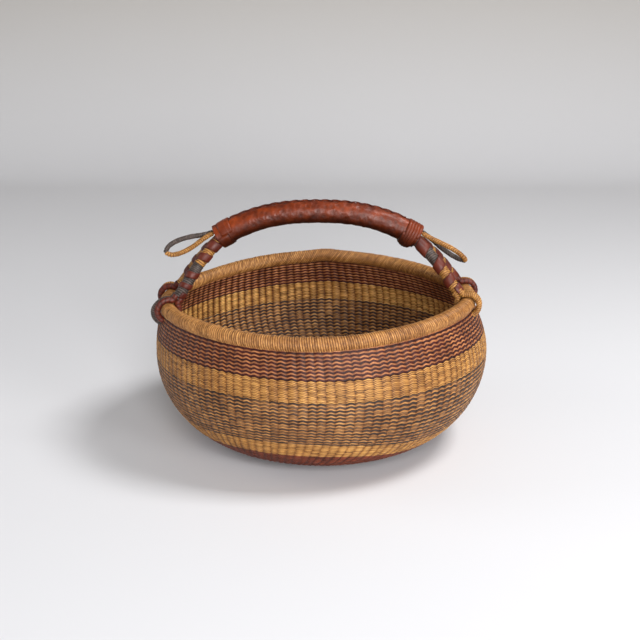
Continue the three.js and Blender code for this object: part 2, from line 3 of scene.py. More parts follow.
import bpy
import numpy as np
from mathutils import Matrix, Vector


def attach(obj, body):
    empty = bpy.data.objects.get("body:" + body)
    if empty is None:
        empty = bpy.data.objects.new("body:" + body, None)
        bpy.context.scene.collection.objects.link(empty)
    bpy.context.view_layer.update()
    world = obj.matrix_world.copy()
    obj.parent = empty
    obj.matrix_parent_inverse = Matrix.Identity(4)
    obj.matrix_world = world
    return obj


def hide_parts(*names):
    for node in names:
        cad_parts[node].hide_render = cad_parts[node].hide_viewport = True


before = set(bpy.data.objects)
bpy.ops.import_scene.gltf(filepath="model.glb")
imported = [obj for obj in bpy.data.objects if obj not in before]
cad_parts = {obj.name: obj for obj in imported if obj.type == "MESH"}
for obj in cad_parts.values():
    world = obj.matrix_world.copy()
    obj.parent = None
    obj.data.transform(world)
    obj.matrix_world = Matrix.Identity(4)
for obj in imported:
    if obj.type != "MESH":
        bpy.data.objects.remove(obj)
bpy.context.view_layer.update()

MM = 0.001
TURN = 2 * math.pi

# Camera
IMAGE_PIXELS = 640
FOCAL_PIXELS = 1257
SENSOR_MM = 36
CAMERA_PLACE = (-1.9 * MM, -1496 * MM, 608 * MM)
CAMERA_PITCH_DEGREES = 17.1

# Woven body, as in the solids
BASE_RADIUS = 86 * MM
BELLY_RADIUS = 205 * MM
BELLY_HEIGHT = 114 * MM
WALL_THICKNESS = 5 * MM
RIM_INSET = 19 * MM
RIM_HEIGHT = 177 * MM
ROLL_RADIUS = 8.5 * MM
CORE_RADIUS = 4.5 * MM
RIM_RADIUS = BELLY_RADIUS - RIM_INSET

# Bands of colour: all but the red base's are up to 3 mm off the solids' heights
RED_BASE_HEIGHT = 39 * MM
LOWER_NATURAL_HEIGHT = 20.2 * MM
RED_STRIPES_HEIGHT = 38 * MM
UPPER_NATURAL_HEIGHT = 25 * MM
LOWER_NATURAL_TOP = RED_BASE_HEIGHT + LOWER_NATURAL_HEIGHT
UPPER_NATURAL_TOP = RIM_HEIGHT - RED_STRIPES_HEIGHT
DARK_STRIPES_TOP = UPPER_NATURAL_TOP - UPPER_NATURAL_HEIGHT

# How the hand-made rim leans, tips and waves; the crown is the scene's alone
RIM_LEAN_X = -5 * MM
RIM_TIP_DEGREES = 1.1
RIM_WAVE = 3 * MM
RIM_WAVE_COUNT = 3
RIM_HUMP = 2 * MM
RIM_HUMP_DEGREES = 87
RIM_HUMP_WIDTH_DEGREES = 6
RIM_CROWN = 2.4 * MM
RIM_NUDGE_DEGREES = 0.5

# Handle, as in the solids
HANDLE_Y = -15 * MM
GRIP_CENTRE_X = -4.5 * MM
GRIP_INSET = 66 * MM
GRIP_HALF_SPAN = RIM_RADIUS - GRIP_INSET
GRIP_TOP_HEIGHT = 288.5 * MM
GRIP_DROP = 31 * MM
GRIP_DROP_POWER = 2.4
GRIP_RADIUS = 14 * MM
ROD_SPACING = 10 * MM
ROD_FORK_SPACING = 13.4 * MM
ROD_FORK_DROP = 4.5 * MM
FRONT_FOOT_DEGREES = 15
BACK_FOOT_DEGREES = 8
FOOT_SLOPE_DEGREES = 50
FOOT_RUN = 12 * MM
LEG_BOW_SHARE = 0.5
LEG_BOW_OUT = 3 * MM
FORK_SHARE = 0.09
ROD_SHARES = (0.2, 0.35, 0.5, 0.65, 0.8)

# Rim strands and finger loops, as in the solids
SEAT_GAP = 0.3 * MM
TURN_GAP = 0.5 * MM
STRAND_RADIUS = 3.5 * MM
STRAND_SLACK = 1.4 * MM
STRAND_LOOP_DEGREES = (180, 210, 240, 270, 300, 330, 360, 390, 420, 448)
FINGER_ROOT_RISE = 7.5 * MM
FINGER_ROOT_OUT = 0.6 * MM
FINGER_LENGTH = 64.5 * MM
FINGER_WIDTH = 15 * MM
FINGER_DROOP_DEGREES = {"left": 23, "right": 33}
FINGER_ROLL_DEGREES = {"left": 74, "right": -35}
FINGER_ROLL_SHARE = 0.6
FINGER_ALONG_SHARES = (0, 0.08, 0.25, 0.45, 0.65, 0.82, 0.94, 1)
FINGER_SPREAD_SHARES = (0.44, 0.44, 0.55, 0.8, 1, 0.95, 0.62, 0)

# Weave
STAKES = 120
BASE_STAKE_STEPS = 4
STAKE_STEPS = 7
WAVY_STAKE_STEPS = 10
ROW_STEPS = 4
ROW_PITCH = 2.17 * MM
RIB_RELIEF = 0.28 * MM
BEAD_RELIEF = 0.9 * MM
INSIDE_RIB_RELIEF = 0.8 * MM
WEAVE_PROUD = 0.1 * MM
RIB_ROUNDNESS = 0.7
STAKE_JITTER = 0.1
STAKE_TWIST = 6
TWIST_END = 170 * MM
WAVE_SKEW = 0.1
WAVE_EASE_ROWS = 2
ROW_WANDER = 0.9 * MM
WANDER_HEIGHT = 60 * MM
WANDER_EASE = 15 * MM

# Where round the basket the lower bands sag: direction and half width in degrees, and how far
BAND_SAGS = ((-20, 54, 20 * MM), (-160, 32, 10 * MM))
BAND_SAG_LINE = 110 * MM
BAND_SAG_END = 188 * MM

# Mesh counts
ARC_SAMPLES = 3000
CURVE_STEPS = 24
GRIP_STEPS = 400
COLLAR_STEPS = 80
LEG_STEPS = 300
LEG_SIDES = 28
STRAND_SIDES = 18
FINGER_HALF_STEPS = 100


def hashed(*values):
    """A repeatable number from 0 to 1 for each set of whole numbers."""
    mixed = np.zeros(np.broadcast(*values).shape) + 0.137
    for value, step in zip(values, (12.9898, 78.233, 37.719)):
        mixed = mixed + np.asarray(value, float) * step
    spun = np.sin(mixed) * 43758.5453
    return spun - np.floor(spun)


def waves(angle, other, seed, count=5):
    """Smooth wandering from -1 to 1 that closes round the basket."""
    total = 0.0
    for i in range(count):
        turns = 2 + i * 2 + int(3 * hashed(seed, i))
        start = TURN * hashed(seed, i, 1)
        total = total + np.sin(turns * angle + start + other * (1 + i) * 0.9) / (1 + i)
    return total / 2.28


def eased(share):
    """From 0 to 1 with a slow start and a slow end."""
    share = np.clip(share, 0, 1)
    return share * share * (3 - 2 * share)


def bead_height(turns):
    """From 0 to 1 and back across each whole turn or row, rounded."""
    across = 2 * (turns - np.floor(turns)) - 1
    return np.sqrt(np.maximum(0, 1 - across ** 2))


def turned_from(angle, degrees):
    """The angle from a direction, between minus and plus half a turn."""
    turned = angle - math.radians(degrees)
    return np.arctan2(np.sin(turned), np.cos(turned))


def stacked(*parts):
    return np.stack(np.broadcast_arrays(*parts), axis=-1)


# Meshes


def grid_mesh(name, points, weave, around=True, closed=False, caps=False, seam=(0, 0, 0)):
    """A mesh from rows of points, with the weave's coordinates kept for its material."""
    rows, columns, _ = points.shape
    row_count = rows if closed else rows - 1
    column_count = columns if around else columns - 1
    i, j = np.meshgrid(np.arange(row_count), np.arange(column_count), indexing="ij")
    i = i.ravel()
    j = j.ravel()
    next_i = (i + 1) % rows
    next_j = (j + 1) % columns
    quads = np.stack([i * columns + j, i * columns + next_j,
                      next_i * columns + next_j, next_i * columns + j], axis=1)
    wide = np.concatenate([weave, weave[:, :1] + np.array(seam)], axis=1)
    corner_j = np.stack([j, j + 1, j + 1, j], axis=1)
    corner_i = np.stack([i, i, next_i, next_i], axis=1)
    corners = wide[corner_i, corner_j].reshape(-1, 3)

    vertices = points.reshape(-1, 3)
    loops = quads.ravel()
    starts = np.arange(len(quads)) * 4
    totals = np.full(len(quads), 4)
    if caps:
        for ring, flip in ((0, True), (rows - 1, False)):
            centre = len(vertices)
            vertices = np.vstack([vertices, points[ring].mean(axis=0)])
            a = ring * columns + np.arange(columns)
            b = ring * columns + (np.arange(columns) + 1) % columns
            first, second = (b, a) if flip else (a, b)
            fan = np.stack([first, second, np.full(columns, centre)], axis=1)
            starts = np.concatenate([starts, len(loops) + np.arange(columns) * 3])
            totals = np.concatenate([totals, np.full(columns, 3)])
            loops = np.concatenate([loops, fan.ravel()])
            corners = np.vstack([corners, np.repeat(weave[ring], 3, axis=0)])

    mesh = bpy.data.meshes.new(name)
    mesh.vertices.add(len(vertices))
    mesh.vertices.foreach_set("co", vertices.astype(np.float32).ravel())
    mesh.loops.add(len(loops))
    mesh.loops.foreach_set("vertex_index", loops.astype(np.int32))
    mesh.polygons.add(len(starts))
    mesh.polygons.foreach_set("loop_start", starts.astype(np.int32))
    mesh.polygons.foreach_set("loop_total", totals.astype(np.int32))
    mesh.polygons.foreach_set("use_smooth", np.ones(len(starts), bool))
    layer = mesh.attributes.new("weave", "FLOAT_VECTOR", "CORNER")
    layer.data.foreach_set("vector", corners.astype(np.float32).ravel())
    mesh.update(calc_edges=True)
    mesh.validate()
    return mesh


def add_object(name, data):
    made = bpy.data.objects.new(name, data)
    bpy.context.scene.collection.objects.link(made)
    return made


def add_piece(mesh, material, replaced=(), body="basket"):
    piece = add_object(mesh.name, mesh)
    mesh.materials.append(material)
    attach(piece, body)
    if replaced:
        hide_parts(*replaced)


# Curves


def unit(vector):
    return vector / np.linalg.norm(vector, axis=-1, keepdims=True)


def smooth_curve(points):
    """A centripetal curve through the points, as the solids' curves are."""
    points = np.asarray(points, float)
    padded = np.vstack([2 * points[0] - points[1], points, 2 * points[-1] - points[-2]])
    share = np.linspace(0, 1, CURVE_STEPS, endpoint=False)[:, None]
    made = []
    for p0, p1, p2, p3 in zip(padded[:-3], padded[1:-2], padded[2:-1], padded[3:]):
        d0, d1, d2 = (math.sqrt(np.linalg.norm(b - a)) for a, b in ((p0, p1), (p1, p2), (p2, p3)))
        m1 = ((p1 - p0) / d0 - (p2 - p0) / (d0 + d1) + (p2 - p1) / d1) * d1
        m2 = ((p2 - p1) / d1 - (p3 - p1) / (d1 + d2) + (p3 - p2) / d2) * d1
        cubic = 2 * p1 - 2 * p2 + m1 + m2
        square = -3 * p1 + 3 * p2 - 2 * m1 - m2
        made.append(cubic * share ** 3 + square * share ** 2 + m1 * share + p1)
    return np.vstack([*made, points[-1:]])


def distances(points):
    """How far along a curve each of its points lies."""
    return np.concatenate([[0], np.cumsum(np.linalg.norm(np.diff(points, axis=0), axis=1))])


def even_steps(points, count):
    """The same curve with this many evenly spaced points."""
    gone = distances(points)
    wanted = np.linspace(0, gone[-1], count)
    return np.stack([np.interp(wanted, gone, points[:, k]) for k in range(3)], axis=1)


def frames_along(points, side=(0, 1, 0)):
    """The centre, tangent, side and lift at each point of a curve."""
    tangents = unit(np.gradient(points, axis=0))
    sides = np.zeros_like(points)
    side = np.array(side, float)
    for i, tangent in enumerate(tangents):
        side = side - tangent * side.dot(tangent)
        side = side / np.linalg.norm(side)
        sides[i] = side
    return points, tangents, sides, np.cross(tangents, sides)


def tube_points(frames, radius, columns):
    """Rings round a curve. The radius is one number, or one for each ring and column."""
    centres, _, sides, lifts = frames
    angle = np.arange(columns) / columns * TURN
    radius = np.broadcast_to(radius, (len(centres), columns))[..., None]
    return (centres[:, None] + radius * np.cos(angle)[None, :, None] * sides[:, None]
            + radius * np.sin(angle)[None, :, None] * lifts[:, None])


ROOT_LENGTH = 3.5 * MM
ROOT_SHARE = 0.26
LEAN_EASE_TURNS = 4
WINDING_STEPS = 4
WINDING_TILT = 0.6
WINDING_JITTER = 0.35


def wound_tube(name, points, radius, pitch, relief, columns, seed, steps=WINDING_STEPS,
               tilt=WINDING_TILT, root=None):
    """A cord wound with straw: each turn of the winding stands up as a rounded bead. It may taper
    towards a root at its start or end."""
    length = distances(points)[-1]
    turns = max(2, round(length / pitch))
    rings = turns * steps + 1
    frames = frames_along(even_steps(points, rings))
    around = (np.arange(columns) / columns)[None, :]
    winding = (np.arange(rings) / steps)[:, None]
    bead = bead_height(winding)
    jitter = hashed(np.floor(winding), seed, 3) - 0.5
    reach = radius - relief + relief * bead * (1 + WINDING_JITTER * jitter)
    if root:
        from_root = winding if root == "start" else turns - winding
        reach = reach * (ROOT_SHARE + (1 - ROOT_SHARE) * eased(from_root * length / turns / ROOT_LENGTH))
    rings_points = tube_points(frames, reach, columns)
    from_end = np.minimum(winding, turns - winding)
    lean = tilt * pitch * np.cos(around * TURN) * np.clip(from_end / LEAN_EASE_TURNS, 0, 1)
    rings_points = rings_points + lean[..., None] * frames[1][:, None]
    # The bead height goes along for leather materials, which paint shade where it is low, between turns.
    weave = stacked(around, winding + steps, bead)
    return grid_mesh(name, rings_points, weave, caps=True, seam=(1, 0, 0))


# The basket's own shape


def rim_lift(angle):
    away = turned_from(angle, RIM_HUMP_DEGREES)
    return (RIM_RADIUS * math.tan(math.radians(RIM_TIP_DEGREES)) * np.cos(angle)
            - RIM_WAVE * np.sin(RIM_WAVE_COUNT * angle)
            + RIM_CROWN * np.sin(angle) ** 2
            + RIM_HUMP * np.exp(-(away / math.radians(RIM_HUMP_WIDTH_DEGREES)) ** 2))


def settled(x, y, z):
    """Tips and waves a point, more the higher it lies, and leans what is above the belly."""
    share = (np.maximum(z, 0) / RIM_HEIGHT) ** 2
    lift = rim_lift(np.arctan2(y, x))
    lean = RIM_LEAN_X * eased((z - BELLY_HEIGHT) / (RIM_HEIGHT + ROLL_RADIUS - BELLY_HEIGHT))
    return stacked(x + lean, y, z + lift * share)


SHOULDER_IN = BELLY_RADIUS - WALL_THICKNESS / 2 - RIM_RADIUS
SHOULDER_UP = RIM_HEIGHT - BELLY_HEIGHT


def wall_line(place, depth):
    """Radius, height and the normal on the wall's meridian: -1 is the base's edge, 1 the rim's centre."""
    place = np.asarray(place, float)
    cos = np.cos(np.minimum(place, 0) * math.pi / 2)
    sin = np.sin(np.minimum(place, 0) * math.pi / 2)
    upper = np.maximum(place, 0)
    lower_normal = np.stack([cos / (BELLY_RADIUS - BASE_RADIUS), sin / BELLY_HEIGHT], axis=-1)
    upper_normal = np.stack([np.full_like(place, SHOULDER_UP), 2 * SHOULDER_IN * upper], axis=-1)
    normal = unit(np.where((place < 0)[..., None], lower_normal, upper_normal))
    middle = np.stack([BELLY_RADIUS - WALL_THICKNESS / 2 - SHOULDER_IN * upper ** 2,
                       BELLY_HEIGHT + SHOULDER_UP * upper], axis=-1)
    outer = np.stack([BASE_RADIUS + (BELLY_RADIUS - BASE_RADIUS) * cos,
                      BELLY_HEIGHT * (1 + sin)], axis=-1)
    upper_point = middle + normal * WALL_THICKNESS / 2
    point = np.where((place < 0)[..., None], outer, upper_point) - normal * depth
    return point, normal


def wall_place(height):
    if height < BELLY_HEIGHT:
        return math.asin(height / BELLY_HEIGHT - 1) / (math.pi / 2)
    return (height - BELLY_HEIGHT) / SHOULDER_UP


def place_before_rim(distance):
    return 1 - distance / math.hypot(2 * SHOULDER_IN, SHOULDER_UP)


def rim_frame(angle):
    """The rim's centre line and its axes there: out, up and along."""
    angle = np.asarray(angle, float)
    nudge = math.radians(RIM_NUDGE_DEGREES)

    def centre_at(a):
        return settled(RIM_RADIUS * np.cos(a), RIM_RADIUS * np.sin(a), RIM_HEIGHT)

    along = unit(centre_at(angle + nudge) - centre_at(angle - nudge))
    out = np.stack([np.cos(angle), np.sin(angle), np.zeros_like(angle)], axis=-1)
    out = unit(out - along * (out * along).sum(axis=-1, keepdims=True))
    return centre_at(angle), out, np.cross(out, along), along


def in_rim_frame(rim, out, up, along):
    centre, out_axis, up_axis, along_axis = rim
    return centre + out_axis * out + up_axis * up + along_axis * along


def grip_point(share):
    """The grip's centre line: -1 is its left end, 1 its right end."""
    share = np.asarray(share, float)
    return np.stack([GRIP_CENTRE_X + GRIP_HALF_SPAN * share,
                     np.full_like(share, HANDLE_Y),
                     GRIP_TOP_HEIGHT - GRIP_DROP * np.abs(share) ** GRIP_DROP_POWER], axis=-1)


def grip_curve(from_share=-1, to_share=1, count=GRIP_STEPS):
    return grip_point(np.linspace(from_share, to_share, count))


class Foot:
    """Where one leg comes down on the rim."""

    def __init__(self, side, depth):
        from_x = -math.radians(FRONT_FOOT_DEGREES) if depth == "front" else math.radians(BACK_FOOT_DEGREES)
        angle = from_x if side == "right" else math.pi - from_x
        slope = math.radians(FOOT_SLOPE_DEGREES)
        self.side = side
        self.depth = depth
        self.name = f"{side}_{depth}"
        self.way = -1 if depth == "front" else 1
        self.outwards = -1 if side == "left" else 1
        self.rim = rim_frame(angle)
        self.away = ROLL_RADIUS + TURN_GAP + 2 * STRAND_RADIUS + 2 * SEAT_GAP
        self.axis = -self.rim[1] * math.cos(slope) + self.rim[2] * math.sin(slope)
        self.end = self.rim[0] + self.axis * self.away

    def leg(self):
        """The leg's centre line, from just inside the grip's end down to the foot."""
        fork = grip_point(self.outwards) + np.array([0, self.way * ROD_FORK_SPACING / 2, -ROD_FORK_DROP])
        run = self.end + self.axis * FOOT_RUN
        bow = run + (fork - run) * LEG_BOW_SHARE + np.array([self.outwards * LEG_BOW_OUT, 0, 0])
        inner = [grip_point(self.outwards * (1 - 2 * share))
                 + np.array([0, self.way * ROD_SPACING / 2, 0]) for share in (FORK_SHARE, *ROD_SHARES[:2])]
        return smooth_curve([*reversed(inner), fork, bow, run, self.end])[CURVE_STEPS * 5 // 2:]


FEET = [Foot(side, depth) for side in ("left", "right") for depth in ("front", "back")]

# Materials


class Value:
    """What a shader node gives. Sums, differences and products of values are nodes too."""

    def __init__(self, socket):
        self.socket = socket

    def __add__(self, other):
        return calculate("ADD", self, other)

    def __sub__(self, other):
        return calculate("SUBTRACT", self, other)

    def __rsub__(self, other):
        return calculate("SUBTRACT", other, self)

    def __mul__(self, other):
        return calculate("MULTIPLY", self, other)


def add_node(kind, inputs, output=0, beside=None, **settings):
    """A new shader node's value. Its inputs are numbers or other nodes' values, and a node that has
    no such value among them is made beside a node of its tree."""
    if beside is None:
        beside = next(value.socket for value in inputs.values() if isinstance(value, Value))
    tree = beside.id_data
    made = tree.nodes.new(kind)
    for key, value in settings.items():
        setattr(made, key, value)
    for key, value in inputs.items():
        if isinstance(value, Value):
            tree.links.new(value.socket, made.inputs[key])
        else:
            made.inputs[key].default_value = value
    return Value(made.outputs[output])


def calculate(operation, *values):
    return add_node("ShaderNodeMath", dict(enumerate(values)), operation=operation)


def mix_colours(share, first, second, blend="MIX"):
    return add_node("ShaderNodeMix", {0: share, 6: first, 7: second}, 2, data_type="RGBA", blend_type=blend)


def mix_values(share, first, second):
    return add_node("ShaderNodeMix", {0: share, 2: first, 3: second})


def remap(value, low, high, to_low=0.0, to_high=1.0):
    return add_node("ShaderNodeMapRange", dict(enumerate((value, low, high, to_low, to_high))))


def noise(vector, scale, detail):
    return add_node("ShaderNodeTexNoise", {"Vector": vector, "Scale": scale, "Detail": detail})


def combine(*parts):
    return add_node("ShaderNodeCombineXYZ", dict(enumerate(parts)))


def separate(vector):
    return [add_node("ShaderNodeSeparateXYZ", {0: vector}, k) for k in range(3)]


def object_place(shader):
    return add_node("ShaderNodeTexCoord", {}, "Object", shader)


def weave_coordinates(shader):
    return separate(add_node("ShaderNodeAttribute", {}, "Vector", shader, attribute_name="weave"))


def colour(red, green, blue):
    """A colour as it looks on a screen, from 0 to 255, in the shader's own terms."""
    def plain(value):
        share = value / 255
        return share / 12.92 if share <= 0.04045 else ((share + 0.055) / 1.055) ** 2.4
    return (plain(red), plain(green), plain(blue), 1.0)


def new_material(name, roughness, specular):
    material = bpy.data.materials.new(name)
    material.use_nodes = True
    shader = material.node_tree.nodes["Principled BSDF"]
    shader.inputs["Roughness"].default_value = roughness
    shader.inputs["Specular IOR Level"].default_value = specular
    return material, shader


def feed(shader, name, value):
    shader.id_data.links.new(value.socket, shader.inputs[name])


def add_bump(shader, height, strength, distance):
    bump = add_node("ShaderNodeBump", {"Strength": strength, "Distance": distance, "Height": height})
    feed(shader, "Normal", bump)


STRAW_ROUGHNESS = 0.5
STRAW_SPECULAR = 0.3
FIBRE_BUMP = 0.3 * MM
WEAVE_BUMP_STRENGTH = 0.4
WINDING_BUMP_STRENGTH = 0.35
FIBRES_ACROSS = 1.3
FIBRES_PER_ROW = 4.5
FIBRE_CONTRAST = 1.7
FIBRE_MIDDLE = 0.5
MEAN_TONE = 0.2
WARM_SHADE_POWERS = (0.8, 1.05, 1.3)


def from_middle(value, rounding):
    """From -1 to 1 across each whole step of a coordinate."""
    share = value - calculate(rounding, value)
    return share * 2.0 - 1.0 if rounding == "FLOOR" else share * 2.0


def square(value):
    return value * value


def cell_noise(x, y, seed):
    """One number for each stitch."""
    return add_node("ShaderNodeTexWhiteNoise", {0: combine(x, y, seed)}, noise_dimensions="3D")


def blotches(place, scale, low, high):
    """Slow changes of tone over the whole piece."""
    return remap(noise(place, scale, 2.0), 0.35, 0.65, low, high)


def straw_tone(across, row, stitch, spread):
    """Each stitch has its own tone, with fibres running along it."""
    fibre = noise(combine(across * FIBRES_ACROSS, row * FIBRES_PER_ROW, stitch), 1.0, 3.0)
    own = stitch * spread + (MEAN_TONE - spread / 2)
    tone = own + (fibre * FIBRE_CONTRAST - FIBRE_MIDDLE)
    return add_node("ShaderNodeClamp", {0: tone}), fibre


def shaded(straw, *shades):
    """Multiplies straw by the given factors towards a warm brown: painted shade between stitches and turns,
    along with slow changes of tone.
    """
    total = math.prod(shades[1:], start=shades[0])
    warm = [calculate("POWER", total, power) for power in WARM_SHADE_POWERS]
    return mix_colours(1.0, straw, combine(*warm), blend="MULTIPLY")


STITCH_PINCH = 0.45
STITCH_SPREAD = 0.48
WINDING_SPREAD = 0.35
PATCH_SCALES = (55.0, 55.0, 130.0)
PATCH_EDGE = 0.05
PATCH_ROWS = 16.0
PATCH_LIMITS = (0.93, 1.08)
FADE_MOST = 0.55
FADE_LEAST_SHARE = 0.3
# Painted shade in the grooves between rows and between stakes: how far it reaches across a row, and how deep
# it is at each stitch and gap.
GROOVE_REACH = (0.1, 0.95)
TICK_FULL = 0.8
TICK_DEPTHS = (0.4, 1.1)
GAP_DEPTHS = (0.35, 1.15)
FAINT_RIB_SCALE = 11.0
FAINT_RIB_DEPTHS = (0.2, 1.2)
RIB_SHADE_STARTS = (0.3, 0.02)
WEAVE_BLOTCHES = (16.0, 0.8, 1.12)
# Inside the basket: painted shade between stakes, deepest on the left, and painted light on the stakes, more
# on the left and right.
INSIDE_RIB_SHADE_LEFT = 1.4
INSIDE_RIB_SHADE_RIGHT = 0.55
INSIDE_RIB_DEEP_X = -120 * MM
INSIDE_RIB_SHALLOW_X = 40 * MM
INSIDE_PAINTED_LIGHT = 1.35
INSIDE_LEFT_PAINTED_LIGHT = 0.3
INSIDE_RIGHT_PAINTED_LIGHT = 0.55
INSIDE_LEFT_X = (-20 * MM, -120 * MM)
INSIDE_RIGHT_X = (20 * MM, 150 * MM)


def broken_stripes(place, parity, row, stitch, broken):
    """Here and there the two kinds of row change places or fade, most near the band's lower edge."""
    stretched = add_node("ShaderNodeVectorMath", {0: place, 1: PATCH_SCALES}, operation="MULTIPLY")
    patch = noise(stretched, 1.0, 3.0)
    limit = remap(row, ROW_STEPS, ROW_STEPS + PATCH_ROWS, *(level - broken for level in PATCH_LIMITS))
    swap = remap(patch - limit, -PATCH_EDGE, PATCH_EDGE)
    fade = remap(stitch, 0.5, 1.0, 0.0, FADE_MOST) * remap(patch, 0.4, 0.6, FADE_LEAST_SHARE, 1.0)
    return calculate("MAXIMUM", calculate("ABSOLUTE", parity - swap), fade)


def weave_material(name, first, second, row_groove_shade, rib_groove_shade, seed, broken=0.0):
    """Twined straw in two kinds of row, each from dark to light. Grooves between stitches get painted shade,
    and inside the basket the stakes get painted light, more on the left and right, with painted shade
    between them, deepest on the left."""
    material, shader = new_material(name, STRAW_ROUGHNESS, STRAW_SPECULAR)
    place = object_place(shader)
    across, row, inside = weave_coordinates(shader)
    stake = calculate("MODULO", calculate("ROUND", across), float(STAKES))
    gap = calculate("MODULO", calculate("FLOOR", across), float(STAKES))
    row_number = calculate("FLOOR", row)
    stitch = cell_noise(stake, row_number, seed)
    tone, fibre = straw_tone(across, row, stitch, STITCH_SPREAD)
    parity = calculate("MODULO", row_number, 2.0)
    if broken:
        parity = broken_stripes(place, parity, row, stitch, broken)
    straw = mix_colours(parity, mix_colours(tone, *STRAW[first]), mix_colours(tone, *STRAW[second]))

    # Painted shade in the grooves between rows, deeper at some stitches than at others.
    s = square(from_middle(across, "ROUND"))
    t = square(from_middle(row, "FLOOR"))
    tick = cell_noise(stake, calculate("ROUND", row), seed + 0.5)
    rows_shade = (remap(s * STITCH_PINCH + t, *GROOVE_REACH, 0.0, row_groove_shade)
                  * remap(tick, 0.0, TICK_FULL, *TICK_DEPTHS))
    # Painted shade between stakes, varying gap by gap; inside the basket it is deeper on the left, and the
    # stakes get painted light, more on the left and right.
    own_gap = remap(cell_noise(gap, row_number, seed + 0.7), 0.0, 1.0, *GAP_DEPTHS)
    faint = remap(noise(place, FAINT_RIB_SCALE, 1.0), 0.4, 0.6, *FAINT_RIB_DEPTHS)
    x = separate(place)[0]
    inside_rib_shade = remap(x, INSIDE_RIB_DEEP_X, INSIDE_RIB_SHALLOW_X,
                         INSIDE_RIB_SHADE_LEFT, INSIDE_RIB_SHADE_RIGHT)
    deepest = mix_values(inside, own_gap * faint * rib_groove_shade, inside_rib_shade)
    rib_share = remap(s, mix_values(inside, *RIB_SHADE_STARTS), 1.0, 0.0, deepest)
    left_painted_light = remap(x, *INSIDE_LEFT_X, 0.0, INSIDE_LEFT_PAINTED_LIGHT)
    right_painted_light = remap(x, *INSIDE_RIGHT_X, 0.0, 0.0 if broken else INSIDE_RIGHT_PAINTED_LIGHT)
    ribs_shade = mix_values(inside, 1.0, left_painted_light + right_painted_light + INSIDE_PAINTED_LIGHT) - rib_share
    feed(shader, "Base Color", shaded(straw, 1.0 - rows_shade, ribs_shade, blotches(place, *WEAVE_BLOTCHES)))
    add_bump(shader, fibre, WEAVE_BUMP_STRENGTH, FIBRE_BUMP)
    return material


WINDING_FIBRES = 9.0
WINDING_SPECKS = 14.0
SPECK_SCALE = 0.8
SPECK_SHADE = 0.64
# How far across each turn the painted shade between turns reaches.
WINDING_GROOVE_REACH = (0.1, 0.85)
WINDING_BLOTCHES = (30.0, 0.82, 1.1)


def wound_material(name, kind, groove_shade, seed):
    """Straw wound round a cord, one tone to each turn, with painted shade between the turns."""
    material, shader = new_material(name, STRAW_ROUGHNESS, STRAW_SPECULAR)
    across, row, _ = weave_coordinates(shader)
    stitch = cell_noise(0.0, calculate("FLOOR", row), seed)
    tone, fibre = straw_tone(across * WINDING_FIBRES, row, stitch, WINDING_SPREAD)
    # Painted shade between turns.
    shade = remap(square(from_middle(row, "FLOOR")), *WINDING_GROOVE_REACH, 1.0, 1 - groove_shade)
    specks = noise(combine(across * WINDING_SPECKS, row, seed), SPECK_SCALE, 2.0)
    straw = shaded(mix_colours(tone, *STRAW[kind]), shade, remap(specks, 0.35, 0.6, SPECK_SHADE, 1.0),
                   blotches(object_place(shader), *WINDING_BLOTCHES))
    feed(shader, "Base Color", straw)
    add_bump(shader, fibre, WINDING_BUMP_STRENGTH, FIBRE_BUMP)
    return material


LEATHER_SPECULAR = 0.3
LEATHER_COAT = 0.06
LEATHER_COAT_ROUGHNESS = 0.35
LEATHER_GRAIN_SCALE = 520.0
LEATHER_MOTTLE_SCALE = 70.0
LEATHER_WEAR_SCALE = 160.0
LEATHER_FOLD_SHADE = 0.85
LEATHER_GRAIN_SHARE = 0.4
LEATHER_BUMP_STRENGTH = 0.35
LEATHER_BUMP = 0.35 * MM
WORN_SMOOTHER = 0.08
WORN_ROUGHER = 0.14
UNDERSIDE_SHADE_REACH = (-0.7, 0.45)


def leather_material(name, dark, middle, light, roughness, underside=0.0):
    """Hand-worked goat leather: mottled and finely grained, with painted shade in its folds, dents and edges
    and, where asked, on its underside.
    """
    material, shader = new_material(name, roughness, LEATHER_SPECULAR)
    shader.inputs["Coat Weight"].default_value = LEATHER_COAT
    shader.inputs["Coat Roughness"].default_value = LEATHER_COAT_ROUGHNESS
    place = object_place(shader)
    across, _, relief = weave_coordinates(shader)
    base = mix_colours(remap(noise(place, LEATHER_MOTTLE_SCALE, 4.0), 0.3, 0.7), middle, light)
    # Painted shade where the relief is low: in folds, dents, creases, strip edges and between wound turns.
    base = mix_colours(remap(relief, 0.0, 1.0, LEATHER_FOLD_SHADE, 0.0), base, dark)
    # Painted shade on the underside.
    if underside:
        height = calculate("SINE", across * TURN)
        base = mix_colours(remap(height, *UNDERSIDE_SHADE_REACH, underside, 0.0), base, dark)
    feed(shader, "Base Color", base)
    wear = noise(place, LEATHER_WEAR_SCALE, 3.0)
    feed(shader, "Roughness", remap(wear, 0.3, 0.7, roughness - WORN_SMOOTHER, roughness + WORN_ROUGHER))
    grain = add_node("ShaderNodeTexVoronoi", {"Vector": place, "Scale": LEATHER_GRAIN_SCALE})
    add_bump(shader, grain * LEATHER_GRAIN_SHARE + wear, LEATHER_BUMP_STRENGTH, LEATHER_BUMP)
    return material


STRAW = {
    "gold": (colour(104, 60, 22), colour(222, 166, 92)),
    "tan": (colour(104, 62, 28), colour(206, 150, 88)),
    "pink": (colour(98, 50, 28), colour(194, 128, 80)),
    "maroon": (colour(26, 6, 6), colour(74, 22, 21)),
    "slate": (colour(24, 17, 16), colour(80, 64, 58)),
    "ash": (colour(20, 17, 19), colour(118, 106, 102)),
    "brick": (colour(42, 15, 10), colour(142, 70, 46)),
    "rim": (colour(90, 48, 18), colour(224, 166, 98)),
}

